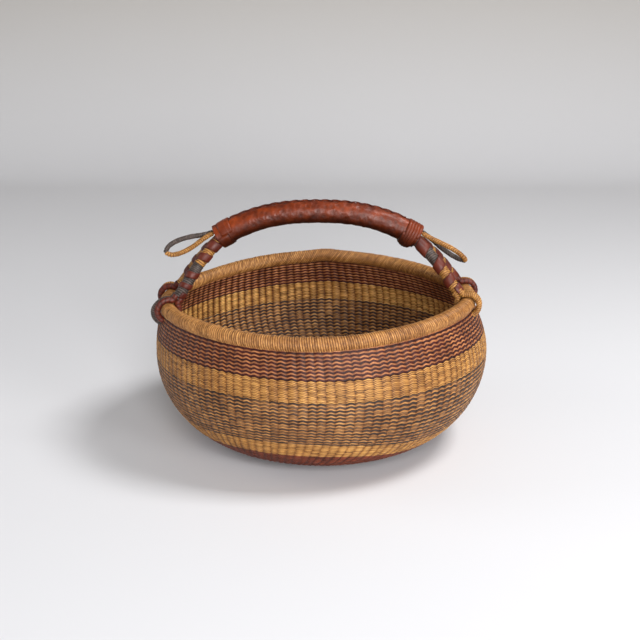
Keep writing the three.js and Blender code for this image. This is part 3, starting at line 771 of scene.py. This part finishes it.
natural_weave = weave_material("natural_weave", "gold", "gold", row_groove_shade=0.97, rib_groove_shade=0.3, seed=1.0)
red_striped_weave = weave_material("red_striped_weave", "maroon", "pink", row_groove_shade=0.66, rib_groove_shade=0.3,
                                   seed=2.0)
dark_striped_weave = weave_material("dark_striped_weave", "slate", "tan", row_groove_shade=0.75, rib_groove_shade=0.3,
                                    seed=3.0, broken=0.27)
brick_weave = weave_material("brick_weave", "brick", "brick", row_groove_shade=0.85, rib_groove_shade=0.6, seed=4.0)
rim_winding = wound_material("rim_winding", "rim", groove_shade=0.82, seed=5.0)
gold_winding = wound_material("gold_winding", "gold", groove_shade=0.8, seed=6.0)
ash_winding = wound_material("ash_winding", "ash", groove_shade=0.88, seed=7.0)
# The grip leather gets painted shade on its underside.
grip_leather = leather_material("grip_leather", colour(26, 7, 3), colour(92, 32, 9), colour(136, 54, 15),
                                roughness=0.42, underside=0.85)
dark_leather = leather_material("dark_leather", colour(26, 9, 7), colour(74, 27, 18), colour(108, 44, 28),
                                roughness=0.45)

# Woven body


def wall_arc(depth):
    """Distances up the wall's meridian at this depth, and the places there."""
    places = np.linspace(-1, place_before_rim(CORE_RADIUS + SEAT_GAP), ARC_SAMPLES)
    line, _ = wall_line(places, depth)
    return distances(line), places


def stake_angle(across):
    """Stakes aren't quite evenly spaced round the basket."""
    low = np.floor(across)
    share = eased(across - low)
    shift_low = hashed(low % STAKES, 5) - 0.5
    shift_high = hashed((low + 1) % STAKES, 5) - 0.5
    shift = STAKE_JITTER * (shift_low + (shift_high - shift_low) * share)
    return (across + 2 * shift) / STAKES * TURN


def stitch_lift(across, row):
    """How far each point of the weave stands up from the grooves, from 0 to 1 for ribs and for rows."""
    stake = np.round(across)
    s = 2 * (across - stake)
    rib = (0.5 + 0.5 * np.cos(math.pi * s)) ** RIB_ROUNDNESS
    tick = 0.5 + 0.5 * hashed(stake % STAKES, np.round(row), 9)
    fat = 0.8 + 0.4 * hashed(stake % STAKES, np.floor(row), 7)
    bead = 1 - tick * (1 - bead_height(row))
    return rib, bead * (0.5 + 0.5 * rib) * fat


def row_wave(across):
    """A row dips between stakes, and rises faster than it falls."""
    s = 2 * (across - np.round(across))
    return np.cos(math.pi * (s + WAVE_SKEW * (1 - s ** 2))) / 2


def band_sag(angle, own_line):
    """The rows low on the wall sag towards the base on the basket's sides."""
    depth = 0.0
    for degrees, half_width, size in BAND_SAGS:
        away = turned_from(angle, degrees) / math.radians(half_width)
        depth = depth + size * np.exp(-away ** 4)
    above = (own_line - BAND_SAG_LINE) / (BAND_SAG_END - BAND_SAG_LINE)
    return depth * (eased(own_line / BAND_SAG_LINE) - eased(above))


def woven_shell(name, low_place, high_place, outside, stake_steps, low_wave, wave, high_wave):
    """One face of the wall's weave, backed at the wall's middle."""
    depth = 0 if outside else WALL_THICKNESS
    outwards = 1 if outside else -1
    gone, places = wall_arc(depth)
    low, high = np.interp([low_place, high_place], places, gone)
    row_count = max(3, round((high - low) / ROW_PITCH) | 1)
    rings = row_count * ROW_STEPS + 1
    across = (np.arange(STAKES * stake_steps) / stake_steps)[None, :]
    row = np.linspace(0, row_count, rings)[:, None]
    own_line = low + (high - low) * row / row_count
    twist = STAKE_TWIST * np.maximum(0, 1 - own_line / TWIST_END) ** 2
    angle = stake_angle(across) - twist / STAKES * TURN

    edge_wave = np.where(row < row_count / 2, low_wave, high_wave)
    inner = np.clip(np.minimum(row, row_count - row) / WAVE_EASE_ROWS, 0, 1)
    size = edge_wave + (wave - edge_wave) * inner
    fade = np.clip(np.minimum(own_line, gone[-1] - own_line) / WANDER_EASE, 0, 1)
    shift = ROW_PITCH * size * row_wave(across) + ROW_WANDER * waves(angle, own_line / WANDER_HEIGHT, 11)
    place = np.interp(own_line + fade * shift - band_sag(angle, own_line), gone, places)

    rib, bead = stitch_lift(across, row)
    point, normal = wall_line(place, depth)
    rib_relief = RIB_RELIEF if outside else INSIDE_RIB_RELIEF
    lift = (rib_relief * (rib - 1) + BEAD_RELIEF * (bead - 1) + WEAVE_PROUD) * outwards
    radius = point[..., 0] + normal[..., 0] * lift
    height = np.maximum(point[..., 1] + normal[..., 1] * lift, 0)
    front = settled(radius * np.cos(angle), radius * np.sin(angle), height)
    # The third coordinate marks the inside face, where the material paints light on the stakes and shade
    # between them.
    weave = stacked(across, row + ROW_STEPS, 0.0 if outside else 1.0)

    back_place = place[::-1][::ROW_STEPS * 2]
    back_angle = angle[::-1][::ROW_STEPS * 2]
    back_line, _ = wall_line(back_place, WALL_THICKNESS / 2)
    back = settled(back_line[..., 0] * np.cos(back_angle), back_line[..., 0] * np.sin(back_angle),
                   back_line[..., 1])
    back_weave = np.zeros((*back.shape[:2], 3))
    points = np.concatenate([front, back])
    weave = np.concatenate([weave, back_weave])
    if not outside:
        points, weave = points[::-1], weave[::-1]
    return grid_mesh(name, points, weave, closed=True, seam=(STAKES, 0, 0))


def make_wall():
    levels = (0, RED_BASE_HEIGHT, LOWER_NATURAL_TOP, DARK_STRIPES_TOP, UPPER_NATURAL_TOP)
    places = [wall_place(level) for level in levels] + [place_before_rim(CORE_RADIUS + SEAT_GAP)]
    bands = [
        ("red_base", brick_weave, "red_straw", 0.3, BASE_STAKE_STEPS),
        ("lower_natural", natural_weave, "natural_straw", 0.45, STAKE_STEPS),
        ("dark_striped", dark_striped_weave, "dark_striped_straw", 0.7, STAKE_STEPS),
        ("upper_natural", natural_weave, "natural_straw", 0.6, WAVY_STAKE_STEPS),
        ("red_striped", red_striped_weave, "red_striped_straw", 0.64, WAVY_STAKE_STEPS),
    ]
    band_waves = [wave for *_, wave, _ in bands]
    edge_waves = [0, *((a + b) / 2 for a, b in zip(band_waves, band_waves[1:])), 0]
    for i, (name, material, slot, wave, stake_steps) in enumerate(bands):
        for face, outside in (("outside", True), ("inside", False)):
            mesh = woven_shell(f"{name}_weave_{face}", places[i], places[i + 1], outside, stake_steps,
                               edge_waves[i], wave, edge_waves[i + 1])
            add_piece(mesh, material, [f"{name}_band"] if outside else ())


DISC_STAKES = 60
DISC_CENTRE_STAKES = 20
DISC_CENTRE_RADIUS = 30 * MM
DISC_HUB_RADIUS = 3 * MM
DISC_RELIEF_SHARE = 0.55


def make_base_disc():
    """Rings of twined rows, with fewer stakes near the middle."""
    edge = BASE_RADIUS - SEAT_GAP
    row_count = round((edge - DISC_HUB_RADIUS) / ROW_PITCH)
    rings = row_count * ROW_STEPS + 1
    radius = np.linspace(DISC_HUB_RADIUS, edge, rings)[:, None]
    columns = DISC_STAKES * STAKE_STEPS
    turn = (np.arange(columns) / columns)[None, :]
    stakes = np.where(radius < DISC_CENTRE_RADIUS, DISC_CENTRE_STAKES, DISC_STAKES)
    row = np.linspace(0, row_count, rings)[:, None]
    rib, bead = stitch_lift(stakes * turn, row)
    sink = DISC_RELIEF_SHARE * (RIB_RELIEF * (1 - rib) + BEAD_RELIEF * np.maximum(0, 1 - bead))
    flat = (radius * np.cos(turn * TURN), radius * np.sin(turn * TURN))
    under = stacked(*flat, sink)
    over = stacked(*flat, WALL_THICKNESS - sink)
    weave = stacked(stakes * turn, row, 0.0)
    mesh = grid_mesh("base_disc_weave", np.concatenate([under, over[::-1]]),
                     np.concatenate([weave, weave[::-1]]), closed=True, seam=(DISC_STAKES, 0, 0))
    add_piece(mesh, brick_weave, ["base_disc"])


# Rim roll

RIM_WINDINGS = 440
RIM_WINDING_STEPS = 4
RIM_SIDES = 24
RIM_WINDING_RELIEF = 0.85 * MM
RIM_WINDING_SLANT = 0.5
RIM_BACK_SLANT = 1.8
RIM_PROUD = 0.3 * MM
RIM_BULGE = 0.35 * MM
RIM_UNEVEN_TURNS = 0.8
RIM_JITTER = 0.6


def make_rim():
    """Straw wound slantwise round the rim, several hundred turns."""
    rings = RIM_WINDINGS * RIM_WINDING_STEPS
    winding = (np.arange(rings) / RIM_WINDING_STEPS)[:, None]
    around = (np.arange(RIM_SIDES) / RIM_SIDES * TURN)[None, :]
    uneven = RIM_UNEVEN_TURNS * waves(winding / RIM_WINDINGS * TURN, 0, 21)
    slant = RIM_WINDING_SLANT + RIM_BACK_SLANT * np.maximum(0, np.sin(winding / RIM_WINDINGS * TURN))
    angle = (winding + uneven - slant * np.sin(around)) / RIM_WINDINGS * TURN
    bead = bead_height(winding)
    own = hashed(np.floor(winding) % RIM_WINDINGS, 9) - 0.5
    reach = (ROLL_RADIUS + RIM_PROUD + RIM_WINDING_RELIEF * (bead * (1 + RIM_JITTER * own) - 1)
             + RIM_BULGE * waves(5 * angle, np.sin(around), 23))
    centre, out, up, _ = rim_frame(angle)
    points = centre + (reach * np.cos(around))[..., None] * out + (reach * np.sin(around))[..., None] * up
    weave = stacked(around / TURN, winding, bead)
    mesh = grid_mesh("rim_winding", points, weave, closed=True, seam=(1, 0, 0))
    add_piece(mesh, rim_winding, ["rim_wrap"])


# Handle

GRIP_RINGS = 480
GRIP_COLUMNS = 96
GRIP_SWELL = 0.9 * MM
DENT_SIZE = 7 * MM
DENT_DEPTH = 0.85 * MM
FINE_DENT_SHARE = 0.45
FINE_DENT_DEPTH = 0.4 * DENT_DEPTH
CREASE_FROM_DEGREES = 4
CREASE_WIDTH_DEGREES = 9
CREASE_DEPTH = 0.5 * MM
SEAM_HEIGHT = 0.9 * MM
SEAM_WIDTH_DEGREES = 14
SEAM_STITCHES = 30


def dents(points, size, seed):
    """Hammered facets: distance to the nearest of many scattered points, as a share of their spacing."""
    cell = np.floor(points / size)
    nearest = np.full(points.shape[:-1], 9.0)
    for x in (-1, 0, 1):
        for y in (-1, 0, 1):
            for z in (-1, 0, 1):
                there = cell + np.array([x, y, z])
                spot = np.stack([hashed(there[..., 0] + 17 * k, there[..., 1] + seed, there[..., 2])
                                 for k in range(3)], axis=-1)
                away = np.linalg.norm(points / size - there - spot, axis=-1)
                nearest = np.minimum(nearest, away)
    return np.clip(nearest, 0, 1)


def make_grip():
    """Glossy dented leather drawn round the grip and laced along its top."""
    share = np.linspace(-1, 1, GRIP_RINGS)
    frames = frames_along(grip_point(share))
    angle = np.arange(GRIP_COLUMNS) / GRIP_COLUMNS * TURN
    smooth = tube_points(frames, GRIP_RADIUS, GRIP_COLUMNS)
    dent = dents(smooth, DENT_SIZE, 3)
    fine = dents(smooth + DENT_SIZE, FINE_DENT_SHARE * DENT_SIZE, 8)
    from_top = np.abs(np.degrees(turned_from(angle, 90)))
    seam = np.exp(-(from_top / SEAM_WIDTH_DEGREES) ** 2)[None, :]
    pucker = np.cos(share[:, None] * SEAM_STITCHES * math.pi)
    past = from_top - CREASE_FROM_DEGREES
    crease = (np.exp(-(np.maximum(0, past) / CREASE_WIDTH_DEGREES) ** 2) * (past > 0))[None, :]
    radius = (GRIP_RADIUS + GRIP_SWELL * np.abs(share[:, None]) ** 3
              - DENT_DEPTH * (1 - dent) - FINE_DENT_DEPTH * (1 - fine)
              + SEAM_HEIGHT * seam * (0.6 + 0.25 * pucker) - CREASE_DEPTH * crease)
    # Low relief gets painted shade from the leather's material, in the dents and the crease.
    relief = np.clip(0.35 + 0.9 * dent - 0.75 * crease, 0, 1)
    weave = stacked(angle[None, :] / TURN, share[:, None], relief)
    mesh = grid_mesh("grip_leather_sleeve", tube_points(frames, radius, GRIP_COLUMNS), weave,
                     caps=True, seam=(1, 0, 0))
    add_piece(mesh, grip_leather, ["leather_grip"])


LACE_STITCHES = 34
LACE_RADIUS = 0.7 * MM
LACE_SWING_DEGREES = 7
LACE_SIDES = 8
LACE_REACH_SHARE = 0.83
LACE_STEPS = 10
LACE_TONE = 0.6


def make_lace():
    """A thin leather lace that crosses the seam from side to side."""
    steps = LACE_STITCHES * LACE_STEPS
    share = np.linspace(-LACE_REACH_SHARE, LACE_REACH_SHARE, steps)
    frames = frames_along(grip_point(share))
    phase = np.linspace(0, LACE_STITCHES * math.pi, steps)
    lean = np.radians(LACE_SWING_DEGREES) * np.sin(phase)
    rise = GRIP_RADIUS + SEAM_HEIGHT / 2
    points = (frames[0] + frames[2] * (rise * np.sin(lean))[:, None]
              + frames[3] * (rise * np.cos(lean))[:, None])
    lace = frames_along(points)
    rings = tube_points(lace, LACE_RADIUS, LACE_SIDES)
    weave = np.full((*rings.shape[:2], 3), LACE_TONE)
    mesh = grid_mesh("grip_lace", rings, weave, caps=True)
    add_piece(mesh, dark_leather, ["grip_seam_lace"])


FLAT_SECTION_SHARES = ((-0.5, 0), (-0.47, 0.6), (-0.38, 0.92), (-0.2, 1), (0, 1.04),
                       (0.2, 1), (0.38, 0.92), (0.47, 0.6), (0.5, 0))
ROUND_SECTION_SHARES = ((-0.5, 0), (-0.4, 0.36), (-0.3, 0.66), (-0.15, 0.92), (0, 1),
                        (0.15, 0.92), (0.3, 0.66), (0.4, 0.36), (0.5, 0))
STRIP_TURN_STEPS = 32
STRIP_STEP_SHARE = 0.5
STRIP_SLANT_SHARE = 0.5
STRIP_CRINKLE_SHARE = 0.12


def wound_strip(name, frame_points, centre_shares, width_shares, inner, thickness,
                section_shares=FLAT_SECTION_SHARES, sag=0.0):
    """A leather strip wound as one helix: a centre and a width, as shares of the length, for each turn.
    It may sag away from the underside."""
    turns = len(centre_shares) - 1
    steps = turns * STRIP_TURN_STEPS + 1
    turn = np.linspace(0, turns, steps)
    step = eased((turn - np.floor(turn) - 0.5 + STRIP_STEP_SHARE / 2) / STRIP_STEP_SHARE)
    gone = STRIP_SLANT_SHARE * turn + (1 - STRIP_SLANT_SHARE) * (np.floor(turn) + step)
    centre = np.interp(gone, np.arange(turns + 1), centre_shares)
    width = np.interp(gone, np.arange(turns + 1), width_shares)
    angle = math.pi + turn * TURN
    centres, _, sides, lifts = frames_along(frame_points)
    base = np.linspace(0, 1, len(centres))
    section = np.array(section_shares)
    share = np.clip(centre[:, None] + width[:, None] * section[None, :, 0], 0, 1)
    radius = inner + thickness * section[None, :, 1] + 0 * share
    crinkle = STRIP_CRINKLE_SHARE * thickness * waves(angle[:, None] * 3, section[None, :, 0] * 8, 31)
    radius = radius + crinkle * section[None, :, 1]

    def looked_up(values):
        return np.stack([np.interp(share, base, values[:, k]) for k in range(3)], axis=-1)

    side = unit(looked_up(sides))
    lift = unit(looked_up(lifts))
    outwards = np.cos(angle)[:, None, None] * side + np.sin(angle)[:, None, None] * lift
    hang = sag * np.maximum(0, -outwards[..., 2]) ** 2 * np.sin(math.pi * share)
    points = looked_up(centres) + (radius + hang)[..., None] * outwards
    # The strip's thin edges get painted shade from the leather's material; its facing lets the material
    # paint shade on the underside.
    relief = 0.9 * np.sqrt(section[None, :, 1] / section[:, 1].max())
    facing = np.arcsin(np.clip(outwards[..., 2], -1, 1)) / TURN
    weave = stacked(facing, turn[:, None], relief)
    return grid_mesh(name, points, weave, caps=True)


COLLAR_END_SHARE = 0.15

# The strip round each end of the grip: turns, inner radius, thickness, width in turns, section and sag
COLLARS = {
    "left": (1, 14.5 * MM, 1.1 * MM, 1.8, FLAT_SECTION_SHARES, 0.8 * MM),
    "right": (5, 13.9 * MM, 1.9 * MM, 1.8, ROUND_SECTION_SHARES, 4.5 * MM),
}
COLLAR_TIE_RADIUS = 15.2 * MM
COLLAR_TIE_THICKNESS = 0.7 * MM
COLLAR_TIE_SHARES = (0.2, 0.75, 0.95)
COLLAR_TIE_WIDTH_SHARE = 0.06


def make_collars():
    """A leather strip wound round each end of the grip, and a thin tie crossing over the left one."""
    for side, outwards in (("left", -1), ("right", 1)):
        points = grip_curve(outwards, outwards * (1 - COLLAR_END_SHARE), COLLAR_STEPS)
        turns, inner, thickness, width, section_shares, sag = COLLARS[side]
        half = 0.5 / (turns + 1)
        centres = np.linspace(half, 1 - half, turns + 1)
        mesh = wound_strip(f"{side}_collar_strip", points, centres, np.full(turns + 1, 2 * half * width),
                           inner, thickness, section_shares, sag)
        add_piece(mesh, grip_leather, [f"{side}_grip_collar"])
    points = grip_curve(-1, COLLAR_END_SHARE - 1, COLLAR_STEPS)
    mesh = wound_strip("left_collar_tie", points, COLLAR_TIE_SHARES,
                       np.full(len(COLLAR_TIE_SHARES), COLLAR_TIE_WIDTH_SHARE),
                       COLLAR_TIE_RADIUS, COLLAR_TIE_THICKNESS)
    add_piece(mesh, grip_leather)


LEG_STRAW_RADIUS = 6.9 * MM
LEG_STRAW_PITCH = 2.5 * MM
LEG_STRAW_RELIEF = 0.9 * MM
LEG_STRIP_INNER = 6.3 * MM
LEG_STRIP_THICKNESS = 1.7 * MM

# Where each leg's leather strip shows from the front, and how wide, as shares of the leg from the grip down
LEG_STRIP_CENTRE_SHARES = {
    "left_front": (0.06, 0.21, 0.39, 0.66, 0.81, 0.93),
    "left_back": (0.05, 0.3, 0.52, 0.72, 0.92),
    "right_front": (0.02, 0.24, 0.57, 0.8, 0.97),
    "right_back": (0.08, 0.3, 0.52, 0.74, 0.93),
}
LEG_STRIP_WIDTH_SHARES = {
    "left_front": (0.15, 0.14, 0.11, 0.09, 0.07, 0.08),
    "left_back": (0.1, 0.12, 0.1, 0.12, 0.14),
    "right_front": (0.1, 0.2, 0.15, 0.12, 0.14),
    "right_back": (0.12, 0.16, 0.16, 0.16, 0.14),
}

# Down to this share of the leg the straw has its first colour, and below it the second
LEG_STRAW = {
    "left_front": (0.5, gold_winding, ash_winding),
    "left_back": (0.5, gold_winding, gold_winding),
    "right_front": (0.57, ash_winding, gold_winding),
    "right_back": (0.5, gold_winding, gold_winding),
}


def make_legs():
    for foot in FEET:
        points = even_steps(foot.leg(), LEG_STEPS)
        change, upper_straw, lower_straw = LEG_STRAW[foot.name]
        cut = int(change * len(points))
        stretches = (("upper", points[:cut + 1], upper_straw), ("lower", points[cut:], lower_straw))
        for stretch, part, straw in stretches:
            mesh = wound_tube(f"{foot.name}_leg_{stretch}_straw", part, LEG_STRAW_RADIUS,
                              LEG_STRAW_PITCH, LEG_STRAW_RELIEF, LEG_SIDES, seed=41)
            replaced = [f"{foot.name}_leg_whipping"] if stretch == "upper" else ()
            add_piece(mesh, straw, replaced)
        mesh = wound_strip(f"{foot.name}_leg_leather", points, LEG_STRIP_CENTRE_SHARES[foot.name],
                           LEG_STRIP_WIDTH_SHARES[foot.name], LEG_STRIP_INNER, LEG_STRIP_THICKNESS)
        add_piece(mesh, dark_leather, [f"{foot.name}_leg_strip"])


# Strands over the rim

STRAND_PITCH = 2.3 * MM
STRAND_RELIEF = 0.7 * MM
STRAND_ROOT = 4 * MM


def strand_path(foot, lane, slack, sag_degrees):
    """Out of the leg's end, over the roll, through the wall and back up beside itself."""
    leg_angle = math.pi - math.radians(FOOT_SLOPE_DEGREES)
    apart = STRAND_RADIUS + TURN_GAP / 2
    loop = ROLL_RADIUS + TURN_GAP + STRAND_RADIUS
    beside = lane * apart

    def on_face(across, back):
        out = math.cos(leg_angle) * (foot.away - back) + math.sin(leg_angle) * across
        up = math.sin(leg_angle) * (foot.away - back) - math.cos(leg_angle) * across
        return in_rim_frame(foot.rim, out, up, beside)

    def on_loop(round_degrees):
        angle = math.radians(round_degrees)
        reach = loop + slack * max(0, math.cos(angle - math.radians(sag_degrees)))
        return in_rim_frame(foot.rim, reach * math.cos(angle), reach * math.sin(angle), beside)

    points = [on_face(-apart, -STRAND_ROOT), on_face(-apart, STRAND_RADIUS)]
    points += [on_loop(step) for step in STRAND_LOOP_DEGREES]
    points += [on_face(apart, STRAND_RADIUS), on_face(apart, -STRAND_ROOT)]
    return smooth_curve(points)


# The near and the far strand of each foot
STRAND_LOOKS = {
    "left_front": ("thick_leather", "ash"),
    "left_back": ("thick_leather", "gold"),
    "right_front": ("gold", "gold"),
    "right_back": ("leather", "gold"),
}

# The loosest strand of each foot, its slack, and where round the rim it stands off most
LOOSE_STRANDS = {
    "left_front": ("far", 6 * MM, -45),
    "left_back": ("near", 0.5 * MM, 60),
    "right_front": ("near", 2.2 * MM, 0),
    "right_back": ("near", 0.6 * MM, 0),
}


# What each look is wound with, its radius, pitch and relief, and the rings to each turn
STRAND_WINDINGS = {
    "thick_leather": (dark_leather, 3.9 * MM, 5 * MM, 0.35 * MM, 10),
    "leather": (dark_leather, STRAND_RADIUS, 5 * MM, 0.35 * MM, 10),
    "ash": (ash_winding, STRAND_RADIUS, STRAND_PITCH, STRAND_RELIEF, WINDING_STEPS),
    "gold": (gold_winding, STRAND_RADIUS, STRAND_PITCH, STRAND_RELIEF, WINDING_STEPS),
}


def make_strands():
    for foot in FEET:
        loose, loose_slack, sag_degrees = LOOSE_STRANDS[foot.name]
        towards_far = 1 if foot.side == "right" else -1
        for strand, look in zip(("near", "far"), STRAND_LOOKS[foot.name]):
            lane = towards_far if strand == "far" else -towards_far
            slack = loose_slack if strand == loose else STRAND_SLACK
            material, radius, pitch, relief, steps = STRAND_WINDINGS[look]
            mesh = wound_tube(f"{foot.name}_strand_{strand}", strand_path(foot, lane, slack, sag_degrees),
                              radius, pitch, relief, STRAND_SIDES, seed=51, steps=steps)
            add_piece(mesh, material, [f"{foot.name}_rim_strand_{strand}"])


# Finger loops

FINGER_CORD_RADIUS = 3.1 * MM
FINGER_PITCH = 2.6 * MM
FINGER_RELIEF = 0.8 * MM
FINGER_TILT = 1.2
FINGER_SIDES = 14


def finger_path(side):
    """Out of the grip's end and back, between its two roots."""
    outwards = -1 if side == "left" else 1
    _, tangents, _, lifts = frames_along(grip_curve())
    end = 0 if side == "left" else -1
    root = (grip_point(outwards) + lifts[end] * FINGER_ROOT_RISE
            + tangents[end] * outwards * FINGER_ROOT_OUT)
    droop = math.radians(FINGER_DROOP_DEGREES[side])
    ahead = np.array([outwards * math.cos(droop), 0, -math.sin(droop)])
    lift = unit(np.cross(ahead, np.array([0, outwards, 0])))

    def place(along, spread_share, way):
        spread = FINGER_WIDTH / 2 * spread_share
        roll = math.radians(FINGER_ROLL_DEGREES[side]) * eased(along / FINGER_ROLL_SHARE)
        return (root + ahead * FINGER_LENGTH * along
                + np.array([0, way * spread * math.cos(roll), 0]) + lift * way * spread * math.sin(roll))

    there = [place(a, s, -1) for a, s in zip(FINGER_ALONG_SHARES, FINGER_SPREAD_SHARES)]
    back = [place(a, s, 1) for a, s in zip(FINGER_ALONG_SHARES[-2::-1], FINGER_SPREAD_SHARES[-2::-1])]
    return smooth_curve(there + back)


def make_finger_loops():
    """Each loop is wound with natural straw on one half and dark straw on the other."""
    halves = (("natural", gold_winding, "start"), ("dark", ash_winding, "end"))
    for side in ("left", "right"):
        points = even_steps(finger_path(side), 2 * FINGER_HALF_STEPS + 1)
        parts = (points[:FINGER_HALF_STEPS + 1], points[FINGER_HALF_STEPS:])
        for (half, straw, root), part in zip(halves, parts):
            mesh = wound_tube(f"{side}_loop_{half}_half", part, FINGER_CORD_RADIUS, FINGER_PITCH,
                              FINGER_RELIEF, FINGER_SIDES, seed=61, tilt=FINGER_TILT, root=root)
            replaced = [f"{side}_finger_loop"] if half == "natural" else ()
            add_piece(mesh, straw, replaced, body=f"{side}_loop")


def finish_inner_nodes():
    """The core, the rods and the packing keep their solids, in bundled straw."""
    inner = wound_material("inner_straw", "tan", groove_shade=0.4, seed=8.0)
    for name in ("rim_core", "front_handle_rod", "back_handle_rod", "grip_packing"):
        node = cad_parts[name]
        node.data.materials.clear()
        node.data.materials.append(inner)


# Stage


FLOOR_SIZE = 6.0
BACKDROP_DISTANCE = 1.6
BACKDROP_BEND = 0.5
BACKDROP_HEIGHT = 3.0
BEND_STEPS = 16
FLOOR_COLOUR = colour(224, 224, 227)
BACKDROP_COLOUR = colour(186, 182, 177)
STAGE_ROUGHNESS = 0.9
STAGE_SPECULAR = 0.1


def make_stage():
    """A pale floor that bends up into the backdrop."""
    line = [(-FLOOR_SIZE / 2, 0.0), (BACKDROP_DISTANCE, 0.0)]
    for i in range(1, BEND_STEPS + 1):
        angle = i / BEND_STEPS * math.pi / 2
        line.append((BACKDROP_DISTANCE + BACKDROP_BEND * math.sin(angle),
                     BACKDROP_BEND * (1 - math.cos(angle))))
    line.append((BACKDROP_DISTANCE + BACKDROP_BEND, BACKDROP_HEIGHT))
    points = np.array([[(x, y, z) for x in (-FLOOR_SIZE / 2, FLOOR_SIZE / 2)] for y, z in line])
    mesh = grid_mesh("pale_floor", points, np.zeros((len(line), 2, 3)), around=False)
    material, shader = new_material("pale_floor", STAGE_ROUGHNESS, STAGE_SPECULAR)
    height = separate(object_place(shader))[2]
    feed(shader, "Base Color", mix_colours(remap(height, 0.0, BACKDROP_BEND), FLOOR_COLOUR, BACKDROP_COLOUR))
    floor = add_object("pale_floor", mesh)
    mesh.materials.append(material)


# Each lamp's name, place and size in metres, and power in watts
LAMPS = (
    ("key_light", (1.1, -0.22, 2.0), 0.7, 33.0),
    ("front_right_light", (1.98, -2.36, 0.94), 0.9, 33.0),
    ("front_light", (0.55, -3.1, 0.72), 0.9, 51.0),
    ("high_front_light", (0.43, -2.9, 1.8), 0.9, 36.0),
    ("left_fill", (-2.0, 0.1, 1.0), 1.2, 9.0),
)
LAMP_TARGET = (0, 0, 120 * MM)
WORLD_COLOUR = (1.0, 0.99, 0.975, 1.0)
WORLD_STRENGTH = 0.14


def make_lights():
    for name, place, size, power in LAMPS:
        data = bpy.data.lights.new(name, "AREA")
        data.size = size
        data.energy = power
        lamp = add_object(name, data)
        lamp.location = place
        lamp.rotation_euler = (Vector(LAMP_TARGET) - lamp.location).to_track_quat("-Z", "Y").to_euler()
    world = bpy.data.worlds.new("studio")
    world.use_nodes = True
    background = world.node_tree.nodes["Background"]
    background.inputs["Color"].default_value = WORLD_COLOUR
    background.inputs["Strength"].default_value = WORLD_STRENGTH
    bpy.context.scene.world = world


def make_camera():
    data = bpy.data.cameras.new("camera")
    data.sensor_width = SENSOR_MM
    data.lens = FOCAL_PIXELS / IMAGE_PIXELS * SENSOR_MM
    camera = add_object("camera", data)
    camera.location = CAMERA_PLACE
    camera.rotation_euler = (math.radians(90 - CAMERA_PITCH_DEGREES), 0, 0)
    bpy.context.scene.camera = camera


make_camera()
make_lights()
make_stage()
bpy.context.scene.view_settings.view_transform = "Standard"

make_wall()
make_base_disc()
make_rim()
make_grip()
make_lace()
make_collars()
make_legs()
make_strands()
make_finger_loops()
finish_inner_nodes()
